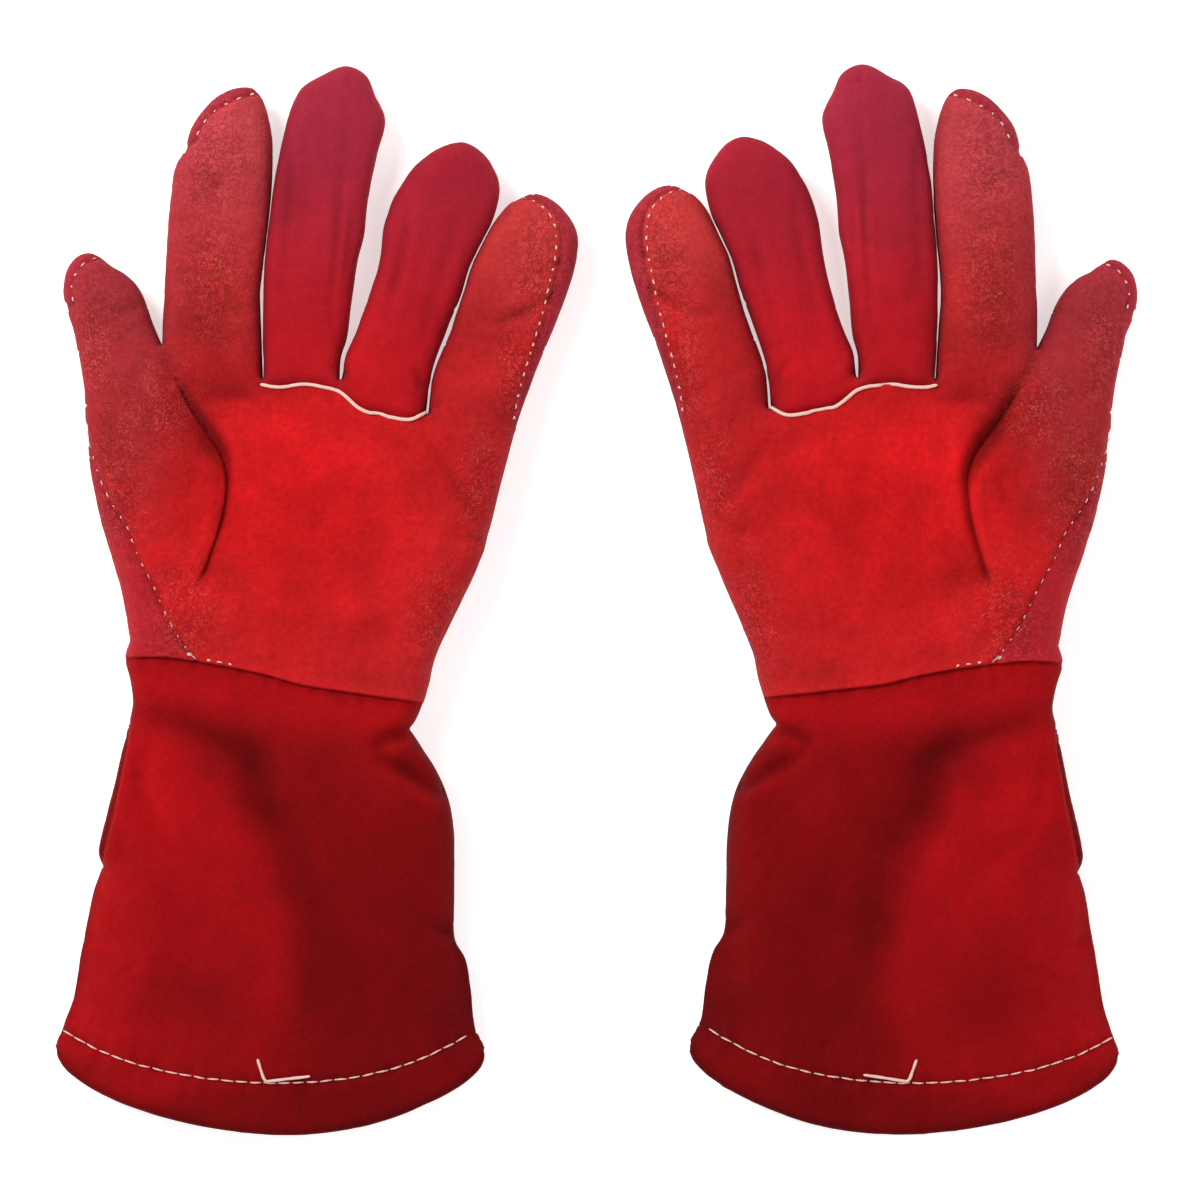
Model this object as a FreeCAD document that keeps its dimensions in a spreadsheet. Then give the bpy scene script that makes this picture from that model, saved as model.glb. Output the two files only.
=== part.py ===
import FreeCAD, Part
import math
import os
import Sketcher

# A pair of lined split-leather welding gauntlets lying side by side, palms up.
# One glove is described in its own frame: X across the hand with the thumb on
# the -X side, Y from the wrist seam towards the fingertips, Z up from the table.
# The right glove is the mirror image of the left. All sizes are millimetres.

SIZES = {
    # heights of the stuffed-out shell above the table
    "finger_height": 20.0,
    "thumb_height": 22.0,
    "palm_height": 26.0,
    "cuff_height": 28.0,
    # materials
    "leather": 1.4,
    "lining": 0.8,
    "lining_gap": 0.3,
    # how far a hollow runs out past an open end
    "overshoot": 2.0,
    # rolled edges of the sewn tubes
    "finger_edge": 5.0,
    "palm_edge": 6.0,
    "cuff_edge": 7.0,
    # trim
    "welt_width": 1.4,
    "welt_height": 0.9,
    "thread_width": 1.0,
    "thread_height": 0.6,
    "tail_width": 1.3,
    "tail_height": 1.3,
    # where each glove lies on the table, and how far it leans
    "left_x": -107.0,
    "left_y": -26.7,
    "left_turn": -3.1,
    "right_x": 105.25,
    "right_y": -26.7,
    "right_turn": 1.1,
}

# Outlines in the glove's frame, anticlockwise for the left glove. Straight ends
# at y = 112, 110, 105 and 97 are the four knuckle folds, those at y = 150, 150,
# 139 and 127 the middle-joint folds and y = -2 the wrist fold. The thumb folds
# on a line at 40 degrees from its crotch and, nearer its tip, on one at 22.
# Each end stops 0.4 short of its fold, so two neighbours never touch. The facing
# edges of the ring and little fingertips stand back, so that both can curl freely.
OUTLINES = {
    "hand": [
        (-49.2, -1.6), (49.6, -1.6), (57.6, 15.0), (62.5, 29.0), (67.2, 42.5),
        (71.7, 69.5), (75.6, 86.0), (78.3, 96.6), (46.2, 96.6), (45.9, 104.6),
        (17.0, 104.6), (17.0, 109.6), (-11.1, 109.6), (-11.1, 111.6),
        (-45.2, 111.6), (-69.1, 91.55), (-68.3, 85.0), (-65.4, 69.0), (-61.0, 49.0),
        (-56.6, 36.0), (-51.9, 22.7), (-49.2, 9.0),
    ],
    "index_lower": [
        (-44.2, 112.4), (-11.8, 112.4), (-12.0, 149.6), (-44.0, 149.6),
    ],
    "index_upper": [
        (-44.0, 150.4), (-12.0, 150.4), (-11.7, 174.0), (-13.2, 187.0),
        (-17.0, 193.6), (-23.0, 196.0), (-31.0, 192.4), (-38.5, 182.0), (-42.8, 171.0),
    ],
    "middle_lower": [
        (-10.6, 110.4), (16.8, 110.4), (18.2, 127.0), (21.2, 149.6), (-10.6, 149.6),
    ],
    "middle_upper": [
        (-10.6, 150.4), (21.3, 150.4), (22.6, 164.0), (26.0, 185.0), (22.3, 196.0),
        (17.2, 203.4), (12.0, 205.0), (5.0, 202.6), (-2.0, 197.6), (-5.6, 188.0), (-9.0, 171.0),
    ],
    "ring_lower": [
        (17.6, 105.4), (45.6, 105.4), (51.3, 122.0), (56.8, 138.6), (26.6, 138.6), (22.0, 123.0),
    ],
    "ring_upper": [
        (26.8, 139.4), (56.2, 139.4), (61.8, 158.0), (63.2, 167.0), (61.0, 174.8),
        (55.6, 180.2), (49.5, 181.6), (42.0, 178.2), (33.0, 168.0), (28.2, 156.0),
    ],
    "little_lower": [
        (47.2, 97.4), (78.4, 97.4), (82.2, 110.4), (87.8, 126.6), (54.4, 126.6), (51.2, 117.0),
    ],
    "little_upper": [
        (59.4, 127.4), (88.0, 127.4), (91.6, 137.0), (92.7, 146.0), (90.6, 156.0),
        (84.8, 162.6), (76.5, 165.4), (70.6, 163.2), (67.0, 158.0), (63.4, 148.0),
    ],
    "thumb_lower": [
        (-69.8, 92.7), (-46.0, 112.7), (-47.6, 116.4), (-50.3, 123.2), (-75.05, 113.2),
    ],
    "thumb_upper": [
        (-75.35, 113.95), (-50.6, 123.95), (-53.6, 128.6), (-61.4, 134.4),
        (-69.6, 137.8), (-74.8, 135.4), (-77.6, 127.8), (-77.2, 119.6),
    ],
    "cuff": [
        (-48.6, -2.4), (-48.8, -16.0), (-54.6, -50.0), (-56.4, -68.0), (-61.0, -105.0),
        (-66.8, -124.0), (-63.0, -132.6), (-40.0, -144.4), (-13.0, -149.7), (13.0, -150.9),
        (36.4, -147.0), (55.5, -139.3), (76.3, -123.6), (71.2, -108.0), (70.4, -97.0),
        (64.0, -84.0), (62.4, -58.0), (58.6, -36.0), (46.8, -14.0), (48.6, -2.4),
    ],
    # the lining stops short of the leather all round
    "hand_lining": [
        (45.6, 0.0), (54.4, 17.0), (59.4, 31.0), (64.0, 44.0),
        (68.5, 70.5), (72.2, 86.5), (74.0, 94.0), (44.4, 94.0), (44.0, 102.6),
        (15.0, 102.6), (15.0, 107.6), (-44.0, 107.6), (-64.4, 90.5), (-63.8, 84.6),
        (-61.0, 69.4), (-56.8, 50.0), (-52.4, 37.0), (-47.8, 23.6), (-45.2, 10.4),
        (-45.2, 0.0),
    ],
    "cuff_lining": [
        (-45.2, -4.0), (-45.6, -17.0), (-51.4, -50.8), (-53.2, -68.2), (-57.8, -105.4),
        (-61.0, -117.0), (-61.0, -123.0), (-38.0, -134.0), (-12.0, -138.6), (12.0, -139.4),
        (34.0, -136.0), (52.0, -128.6), (68.0, -117.0), (67.2, -97.6), (60.8, -84.6),
        (59.2, -58.4), (55.4, -37.0), (43.4, -14.2), (45.2, -4.0),
    ],
}

# Edges of each outline that stay open: an edge is named by its first corner.
OPEN_EDGES = {
    "hand": [0, 7, 8, 9, 10, 11, 12, 13, 14],
    "index_lower": [0, 2],
    "index_upper": [0],
    "middle_lower": [0, 3],
    "middle_upper": [0],
    "ring_lower": [0, 3],
    "ring_upper": [0],
    "little_lower": [0, 3],
    "little_upper": [0],
    "thumb_lower": [0, 3],
    "thumb_upper": [0],
    "cuff": [5, 6, 7, 8, 9, 10, 11, 19],
    "hand_lining": [6, 7, 8, 9, 10, 11, 19],
    "cuff_lining": [6, 7, 8, 9, 10, 11, 18],
}

# Centre lines of the narrow strips of trim.
PATHS = {
    "welt": [
        (-8.6, 96.4), (5.0, 98.2), (16.6, 97.4), (23.4, 90.8),
        (31.5, 89.6), (39.0, 87.6), (45.0, 90.2),
    ],
    "thread": [
        (-57.0, -126.4), (-35.0, -133.4), (-12.0, -135.9), (12.0, -135.3),
        (32.0, -132.8), (48.5, -128.2), (63.0, -121.4),
    ],
    "tail": [
        (1.6, -127.4), (4.6, -134.0), (19.4, -131.6),
    ],
}

DIGITS = ["index", "middle", "ring", "little", "thumb"]

doc = FreeCAD.newDocument("welding_gloves")
sheet = doc.addObject("Spreadsheet::Sheet", "Sizes")


def fill_sheet():
    """Write every size, outline corner and path point to the sheet with an alias."""
    rows = list(SIZES.items())
    for name, points in list(OUTLINES.items()) + list(PATHS.items()):
        for index, point in enumerate(points):
            rows.append((f"{name}_x_{index}", point[0]))
            rows.append((f"{name}_y_{index}", point[1]))
    for row, (alias, value) in enumerate(rows, start=1):
        sheet.set(f"A{row}", alias)
        sheet.set(f"B{row}", str(value))
        sheet.setAlias(f"B{row}", alias)
    doc.recompute()


def new_body(side, name):
    """A body placed where its glove lies, bound to the sheet."""
    body = doc.addObject("PartDesign::Body", f"{side}_{name}")
    body.Label = f"{side}_{name}"
    body.setExpression("Placement.Base.x", f"Sizes.{side}_x")
    body.setExpression("Placement.Base.y", f"Sizes.{side}_y")
    body.setExpression("Placement.Rotation.Angle", f"Sizes.{side}_turn")
    return body


def closed_sketch(body, corners, formulas, height_formula, label):
    """A closed polygon parallel to the table, every corner bound to the sheet."""
    sketch = body.newObject("Sketcher::SketchObject", f"{body.Name}_{label}")
    plane = None
    for feature in body.Origin.OriginFeatures:
        if feature.Role == "XY_Plane":
            plane = feature
    sketch.AttachmentSupport = [(plane, "")]
    sketch.MapMode = "FlatFace"
    sketch.setExpression("AttachmentOffset.Base.z", height_formula)
    count = len(corners)
    for index in range(count):
        start = FreeCAD.Vector(corners[index][0], corners[index][1], 0)
        following = corners[(index + 1) % count]
        end = FreeCAD.Vector(following[0], following[1], 0)
        sketch.addGeometry(Part.LineSegment(start, end), False)
    for index in range(count):
        sketch.addConstraint(
            Sketcher.Constraint("Coincident", index, 2, (index + 1) % count, 1)
        )
    for index in range(count):
        for axis in (0, 1):
            kind = ("DistanceX", "DistanceY")[axis]
            number = sketch.addConstraint(
                Sketcher.Constraint(kind, -1, 1, index, 1, corners[index][axis])
            )
            sketch.setExpression(f"Constraints[{number}]", formulas[index][axis])
    return sketch


def outline_corners(side, name):
    """Corners of a named outline and the sheet formulas that hold them."""
    sign = 1.0 if side == "left" else -1.0
    prefix = "" if side == "left" else "-"
    corners = [(sign * x, y) for x, y in OUTLINES[name]]
    formulas = []
    for index in range(len(corners)):
        formulas.append((f"{prefix}Sizes.{name}_x_{index}", f"Sizes.{name}_y_{index}"))
    return corners, formulas


def strip_corners(side, name):
    """Corners of a strip that keeps an even width along its centre line."""
    sign = 1.0 if side == "left" else -1.0
    path = PATHS[name]
    width = SIZES[f"{name}_width"]
    normals = []
    for index in range(len(path)):
        before = path[max(index - 1, 0)]
        after = path[min(index + 1, len(path) - 1)]
        along_x = after[0] - before[0]
        along_y = after[1] - before[1]
        length = math.hypot(along_x, along_y)
        normals.append((-along_y / length, along_x / length))
    order = [(index, 1.0) for index in range(len(path))]
    order += [(index, -1.0) for index in reversed(range(len(path)))]
    corners = []
    formulas = []
    for index, edge in order:
        across_x = normals[index][0] * edge
        across_y = normals[index][1] * edge
        x = path[index][0] + width / 2 * across_x
        y = path[index][1] + width / 2 * across_y
        corners.append((sign * x, y))
        half = f"Sizes.{name}_width / 2"
        formula_x = f"{sign:.0f} * (Sizes.{name}_x_{index} + {half} * {across_x:.5f})"
        formula_y = f"Sizes.{name}_y_{index} + {half} * {across_y:.5f}"
        formulas.append((formula_x, formula_y))
    return corners, formulas


def inset_corners(side, name, wall_alias):
    """Corners moved in by one wall at closed edges and out past the open ones."""
    sign = 1.0 if side == "left" else -1.0
    points = OUTLINES[name]
    count = len(points)
    inward = []
    for index in range(count):
        step_x = points[(index + 1) % count][0] - points[index][0]
        step_y = points[(index + 1) % count][1] - points[index][1]
        length = math.hypot(step_x, step_y)
        inward.append((-step_y / length, step_x / length))
    corners = []
    formulas = []
    for index in range(count):
        before = inward[index - 1]
        after = inward[index]
        cross = before[0] * after[1] - before[1] * after[0]
        shift = [0.0, 0.0]
        terms = ["", ""]
        # how far the corner moves for one unit of each neighbouring edge
        pulls = [
            (index - 1, (after[1] / cross, -after[0] / cross)),
            (index, (-before[1] / cross, before[0] / cross)),
        ]
        for edge, pull in pulls:
            opened = edge % count in OPEN_EDGES[name]
            amount = -SIZES["overshoot"] if opened else SIZES[wall_alias]
            word = "-1 * Sizes.overshoot" if opened else f"Sizes.{wall_alias}"
            for axis in (0, 1):
                shift[axis] += amount * pull[axis]
                terms[axis] += f" + {word} * ({pull[axis]:.6f})"
        x = points[index][0] + shift[0]
        y = points[index][1] + shift[1]
        corners.append((sign * x, y))
        formula_x = f"{sign:.0f} * (Sizes.{name}_x_{index}{terms[0]})"
        formula_y = f"Sizes.{name}_y_{index}{terms[1]}"
        formulas.append((formula_x, formula_y))
    return corners, formulas


def closed_levels(shape, corners, open_edges, level):
    """Names of the edges at one height that do not lie on an open end."""
    names = []
    for number, edge in enumerate(shape.Edges, start=1):
        first = edge.Vertexes[0].Point
        last = edge.Vertexes[-1].Point
        if abs(first.z - level) > 1e-5 or abs(last.z - level) > 1e-5:
            continue
        middle = (first + last) * 0.5
        at_end = False
        for index in open_edges:
            start = FreeCAD.Vector(corners[index][0], corners[index][1], level)
            following = corners[(index + 1) % len(corners)]
            end = FreeCAD.Vector(following[0], following[1], level)
            if middle.distanceToLineSegment(start, end).Length < 0.01:
                at_end = True
        if not at_end:
            names.append(f"Edge{number}")
    return names


def bevel(body, base, names, size_formula, label):
    """Chamfer the named edges."""
    feature = body.newObject("PartDesign::Chamfer", f"{body.Name}_{label}")
    feature.Base = (base, names)
    feature.setExpression("Size", size_formula)
    doc.recompute()
    return feature


def wall(side, name, outline, base, height, edge_alias, wall_alias, closed):
    """An even wall round a hollow. closed lists which flat sides it keeps."""
    body = new_body(side, name)
    corners, formulas = outline_corners(side, outline)
    block = body.newObject("PartDesign::Pad", f"{body.Name}_block")
    block.Profile = closed_sketch(body, corners, formulas, base, "outline")
    block.setExpression("Length", height)
    doc.recompute()
    low = block.Shape.BoundBox.ZMin
    high = block.Shape.BoundBox.ZMax
    thick = SIZES[wall_alias]

    hollow_base = f"{base} + Sizes.{wall_alias}" if "bottom" in closed else base
    inner_corners, inner_formulas = inset_corners(side, outline, wall_alias)
    hollow = body.newObject("PartDesign::Pocket", f"{body.Name}_hollow")
    hollow.Profile = closed_sketch(body, inner_corners, inner_formulas, hollow_base, "inside")
    hollow.setExpression("Length", f"{height} - {len(closed)} * Sizes.{wall_alias}")
    hollow.Reversed = True
    doc.recompute()
    if hollow.Shape.Volume > 0.7 * block.Shape.Volume:
        raise RuntimeError(f"{body.Label} was not hollowed")

    # soften the inside corners first, so the wall stays whole under the outer bevel
    local = hollow.Shape.copy()
    local.Placement = FreeCAD.Placement()
    names = []
    if "top" in closed:
        names += closed_levels(local, corners, OPEN_EDGES[outline], high - thick)
    if "bottom" in closed:
        names += closed_levels(local, corners, OPEN_EDGES[outline], low + thick)
    inner_size = f"Sizes.{edge_alias} - (2 - sqrt(2)) * Sizes.{wall_alias}"
    softened = bevel(body, hollow, names, inner_size, "inner_bevel")
    local = softened.Shape.copy()
    local.Placement = FreeCAD.Placement()
    names = []
    if "top" in closed:
        names += closed_levels(local, corners, OPEN_EDGES[outline], high)
    if "bottom" in closed:
        names += closed_levels(local, corners, OPEN_EDGES[outline], low)
    bevel(body, softened, names, f"Sizes.{edge_alias}", "outer_bevel")


def front_and_back(side, outline, front_name, back_name, height_alias, edge_alias):
    """The palm-side and back-side leather of one tube, meeting at half height."""
    half = f"Sizes.{height_alias} / 2"
    wall(side, front_name, outline, half, half, edge_alias, "leather", ["top"])
    wall(side, back_name, outline, "0 * Sizes.leather", half, edge_alias, "leather", ["bottom"])


def lining_tube(side, name, height_alias, edge_alias):
    """A soft tube inside the leather, open at both ends."""
    clear = "Sizes.leather + Sizes.lining_gap"
    height = f"Sizes.{height_alias} - 2 * ({clear})"
    wall(side, name, name, clear, height, edge_alias, "lining", ["top", "bottom"])


def flat_strip(side, name, trim, base_formula):
    """A narrow raised strip that follows a centre line."""
    body = new_body(side, name)
    corners, formulas = strip_corners(side, trim)
    pad = body.newObject("PartDesign::Pad", f"{body.Name}_strip")
    pad.Profile = closed_sketch(body, corners, formulas, base_formula, "outline")
    pad.setExpression("Length", f"Sizes.{trim}_height")


def build_glove(side):
    """All the pieces of one glove."""
    front_and_back(side, "hand", "palm_panel", "hand_back_panel", "palm_height", "palm_edge")
    flat_strip(side, "finger_base_welt", "welt", "Sizes.palm_height")
    lining_tube(side, "hand_lining", "palm_height", "palm_edge")
    for digit in DIGITS:
        height = "thumb_height" if digit == "thumb" else "finger_height"
        for part in ("lower", "upper"):
            front_name = f"{digit}_front_{part}"
            back_name = f"{digit}_back_{part}"
            front_and_back(side, f"{digit}_{part}", front_name, back_name, height, "finger_edge")
    front_and_back(side, "cuff", "cuff_front_panel", "cuff_back_panel", "cuff_height", "cuff_edge")
    lining_tube(side, "cuff_lining", "cuff_height", "cuff_edge")
    flat_strip(side, "hem_thread", "thread", "Sizes.cuff_height")
    flat_strip(side, "thread_tail", "tail", "Sizes.cuff_height + Sizes.thread_height")


def check_and_export():
    """Refuse a broken feature, then write one STEP file for each body."""
    doc.recompute()
    for item in doc.Objects:
        if "Invalid" in item.State or "Error" in item.State:
            raise RuntimeError(f"{item.Name} is {item.State}")
    os.makedirs("parts", exist_ok=True)
    total = FreeCAD.BoundBox()
    for item in doc.Objects:
        if item.TypeId != "PartDesign::Body":
            continue
        shape = item.Shape
        if shape.isNull() or not shape.isValid() or len(shape.Solids) != 1:
            raise RuntimeError(f"{item.Label} is not one sound solid")
        total.add(shape.BoundBox)
        shape.exportStep(f"parts/{item.Label}.step")
        print(f"{item.Label:32s} {shape.Volume:10.1f} mm3  {len(shape.Faces)} faces")
    print(f"X {total.XMin:.2f} to {total.XMax:.2f}")
    print(f"Y {total.YMin:.2f} to {total.YMax:.2f}")
    print(f"Z {total.ZMin:.2f} to {total.ZMax:.2f}")


fill_sheet()
for glove_side in ("left", "right"):
    build_glove(glove_side)
check_and_export()
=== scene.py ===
"""The looks of a pair of leather welding gloves lying palms up on a pale table.

Each glove is one closed skin of leather, blown up from its outline, creased and seamed, and cut into
the same pieces as the CAD part. Lengths are in millimetres in the glove's own frame: the middle of
the wrist seam is the origin, +Y points to the fingertips, the thumb is on the -X side and +Z is up.
"""

import math

import bpy
import numpy as np
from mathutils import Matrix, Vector
from mathutils import noise
from mathutils.bvhtree import BVHTree
from mathutils.geometry import delaunay_2d_cdt
from mathutils.kdtree import KDTree


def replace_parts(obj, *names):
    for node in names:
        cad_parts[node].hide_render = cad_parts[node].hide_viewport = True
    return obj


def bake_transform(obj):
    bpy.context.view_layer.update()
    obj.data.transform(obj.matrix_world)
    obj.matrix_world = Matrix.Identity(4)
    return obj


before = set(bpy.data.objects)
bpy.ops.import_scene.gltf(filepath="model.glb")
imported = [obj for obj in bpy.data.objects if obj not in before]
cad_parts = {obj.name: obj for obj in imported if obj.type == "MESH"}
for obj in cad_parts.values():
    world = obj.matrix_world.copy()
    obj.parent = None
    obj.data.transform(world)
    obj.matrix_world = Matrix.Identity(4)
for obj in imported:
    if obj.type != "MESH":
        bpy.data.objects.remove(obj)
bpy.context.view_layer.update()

# sizes in millimetres
LEATHER = 1.4
HEM_THICKNESS = 2.6
HEM_BAND = 12.5
HEM_PITCH = 4.7
LINING = 0.8
LINING_GAP = 0.25

# the size of the triangles, and the rows of points beside the outline and beside the cuts
STEP = 1.3
BACK_STEP = 2.4
EDGE_ROWS = (0.12, 0.5, 1.1, 1.9)
SEAM_ROWS = (0.55, 1.25)

# how near a point has to be for a point of a cut, or for the end of a cut, to be joined to it
JOIN = 0.45
JOIN_ENDS = 1.6

# colours of the thread, the lining, the rubbed nap and its sheen, linear
THREAD_COLOUR = (0.78, 0.52, 0.45)
LINING_COLOUR = (0.62, 0.55, 0.47)
FLECK_COLOUR = (0.78, 0.17, 0.14, 1.0)
SHEEN_COLOUR = (1.0, 0.30, 0.36, 1.0)

# where each glove lies: X, Y, turn in degrees and the sign of its X axis
PLACES = {
    "left": (-107.0, -26.7, -3.1, 1.0),
    "right": (105.25, -26.7, 1.1, -1.0),
}

# the outline, clockwise from the wrist on the thumb side
OUTLINE = {
    "thumb": [
        (-49, 9.5), (-52, 22.5), (-56.5, 36), (-61, 49), (-65, 64), (-67.5, 78),
        (-69.5, 94), (-73, 109), (-77, 120.5), (-78, 127.5), (-76.5, 133.5), (-73.5, 137),
        (-70, 138.2), (-66.5, 137), (-62.5, 134.2), (-58, 132), (-53.5, 128), (-50, 122),
        (-47.5, 115.5), (-44, 108.5),
    ],
    "index": [
        (-44, 108.5), (-44.5, 120.5), (-44.2, 134), (-44.2, 150.5), (-43.5, 162.5), (-42.5, 169),
        (-39.8, 174.5), (-38.3, 181.5), (-34, 188.5), (-29, 193.5), (-23, 196), (-17.5, 195.5),
        (-14, 190.5), (-11.3, 180.5), (-10.5, 169), (-10.6, 157.5), (-11.3, 145.5), (-12, 135),
        (-12.3, 127), (-11.5, 117.5), (-10, 99.5),
    ],
    "middle": [
        (-9.6, 99.5), (-11.1, 117), (-11.6, 135), (-10.5, 154), (-9.8, 166), (-7.6, 179.5),
        (-5.3, 190), (-2.5, 197), (4, 201.5), (10.5, 204.8), (15.5, 204.6), (19.8, 201.8),
        (22.5, 196), (26.4, 187.5), (24.3, 176), (22, 161), (21.3, 149), (19.6, 140),
        (18.4, 127), (17.5, 115), (15.8, 108), (15.8, 100.5),
    ],
    "ring": [
        (16.2, 100.5), (17.2, 108.5), (20.2, 116.5), (24.6, 131), (26.8, 142.5), (27.8, 153),
        (30.3, 161.8), (33.8, 168.2), (38, 174), (44.5, 179.2), (51.5, 181.8), (57.5, 180),
        (62.5, 175), (65.8, 167.5), (64.3, 157), (60.8, 149), (57.1, 140), (54.8, 131),
        (50.6, 118.5), (46.6, 105), (45.2, 90.5),
    ],
    "little": [
        (45.8, 90.5), (47.2, 104.5), (51.7, 118), (55.3, 131), (57.9, 141), (61.3, 149),
        (65, 157), (69.9, 162.6), (77, 165.8), (84.5, 163.5), (90.3, 157.5), (92.8, 150.5),
        (91.8, 140), (88.3, 127), (83.4, 113.5), (79.5, 101), (76.3, 89.5), (73.6, 78),
        (71.3, 67), (69.3, 56.5), (68.2, 51.2),
    ],
    "palm": [
        (68.2, 51.2), (66.6, 44), (61.8, 31.5), (56.5, 19), (52.8, 9), (51.3, 0.5), (49.5, -6),
        (47.6, -11.5), (45.5, -15),
    ],
    "cuff_right": [
        (45.5, -15), (50, -21), (56, -29.5), (60.3, -39), (62.6, -51.5), (63.4, -69),
        (64.2, -83.5), (68.4, -91), (70.8, -101.5), (72.4, -112.5), (76.3, -120),
    ],
    "hem": [
        (76.3, -120), (74, -126.5), (65.5, -133.8), (49.5, -142), (33, -147.6), (13, -150.6),
        (-7.5, -150.2), (-27.5, -147.3), (-46.5, -142), (-61, -134.6), (-67.3, -127),
    ],
    "cuff_left": [
        (-67.3, -127), (-64.2, -118), (-61.9, -110), (-60.4, -98), (-58.4, -84),
        (-56.8, -73.5), (-54.4, -66),
    ],
    "side_fold": [
        (-54.4, -66), (-56, -61.5), (-54.8, -53), (-52, -40), (-49.8, -28), (-48, -17.5),
    ],
    "wrist": [(-48, -17.5), (-47.2, -11), (-48.7, -3), (-50.3, 2), (-50.3, 5.5), (-49, 9.5)],
}

# lines along which the skin is cut into pieces
KNUCKLE_CUTS = {
    "thumb_base": [(-44, 108.5), (-69.3, 87.2)],
    "index_base": [(-44, 108.5), (-10, 99.5)],
    "little_base": [(46, 90.5), (74.2, 81.5)],
    "thumb_middle": [(-49.6, 121), (-75.2, 103.8)],
    "index_middle": [(-44.3, 134.5), (-12.3, 134.5)],
    "middle_middle": [(-11.4, 130.5), (18.8, 130.5)],
    "ring_middle": [(22.8, 125), (52.7, 125)],
    "little_middle": [(50.6, 114), (83.6, 114)],
}
WRIST_SEAM = [
    (-50.3, 4), (-38, 5), (-26, 4.2), (-16, 3), (-2.5, 0.8), (9.5, -1.8), (25.5, -3.5),
    (40.5, -4.8), (49.8, -5.6),
]
WELT_LINE = [
    (-10, 96.6), (-3, 96.2), (4.5, 97.6), (11, 97), (16.8, 95.6), (22.6, 91.2), (27, 89.4),
    (34, 88.4), (40.5, 87.9), (46, 90.5),
]
THUMB_FOLD = [
    (-38.5, 97), (-33.5, 88), (-28, 80.5), (-22.8, 73.5), (-20.2, 66), (-20.1, 58.5),
    (-21.4, 50), (-23.6, 41.5), (-27, 31.5),
]
FLAP_LINE = [
    (-48, -17.5), (-47, -24), (-47.8, -32), (-49.9, -46), (-52.2, -57), (-54.4, -66),
]
LINING_EDGE = [
    (-66.2, -124), (-54, -129.4), (-40, -133.7), (-25, -136.5), (-8, -137.9),
    (12, -137.5), (32, -134.8), (48.5, -130), (61.8, -123.8), (73.8, -116.4),
]
FRONT_CUTS = {
    **KNUCKLE_CUTS,
    "wrist": WRIST_SEAM,
    "thumb_fold": THUMB_FOLD,
    "side_fold": FLAP_LINE,
    "lining": LINING_EDGE,
    "welt": [(-10, 99.5)] + WELT_LINE,
    "middle_ring": [(15.8, 100.5), (16.8, 95.6)],
}
BACK_CUTS = {
    **KNUCKLE_CUTS,
    "wrist": WRIST_SEAM,
    "lining": LINING_EDGE,
    "welt": [(-9.6, 99.5), (15.8, 100.5)],
    "middle_ring": [(16.2, 100.5), (45.2, 90.5)],
}

# seams of the palm side outside of which the back of the glove shows
THUMB_SIDE_SEAM = [
    (-67.9, 80), (-62, 64), (-56.5, 54), (-51.6, 47.5), (-47.6, 38.5), (-42.4, 29.5),
    (-37, 18.8), (-31, 9.6), (-26, 4.2),
]
LITTLE_SEAM = [
    (71.5, 163.9), (76.5, 164), (81.5, 161.6), (85.6, 157.2), (87.2, 150.5), (87, 143), (85.6, 135.5),
    (84.2, 127), (82, 118), (80.9, 113.5), (79.6, 108.5), (77.4, 98.5), (76.1, 88.8),
]
INDEX_TIP_SEAM = [
    (-16.2, 194.6), (-20.5, 193), (-26, 190.3), (-31, 186.8), (-34.6, 182), (-36.4, 177), (-40, 174.2),
]
THUMB_TIP_SEAM = [
    (-66.2, 136.8), (-69.5, 135.6), (-72.4, 133.2), (-74.2, 129.5), (-74.9, 125.5), (-74, 121),
    (-77.4, 119.4),
]
STRIP_SEAMS = {
    "thumb_side": THUMB_SIDE_SEAM,
    "little_side": LITTLE_SEAM,
    "index_tip": INDEX_TIP_SEAM,
    "thumb_tip": THUMB_TIP_SEAM,
}

# a point inside each piece: front name, back name and the point
REGIONS = [
    ("palm_panel", "hand_back_panel", (0, 50)),
    ("cuff_front_panel", "cuff_back_panel", (0, -70)),
    ("cuff_front_panel", "cuff_back_panel", (0, -144)),
]
REGIONS[1:1] = [
    (f"{digit}_front_{part}", f"{digit}_back_{part}", point)
    for digit, lower, upper in (
        ("thumb", (-60, 103), (-64, 124)),
        ("index", (-28, 118), (-28, 160)),
        ("middle", (4, 112), (6, 165)),
        ("ring", (33, 108), (46, 155)),
        ("little", (62, 100), (74, 140)),
    )
    for part, point in (("lower", lower), ("upper", upper))
]

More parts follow.
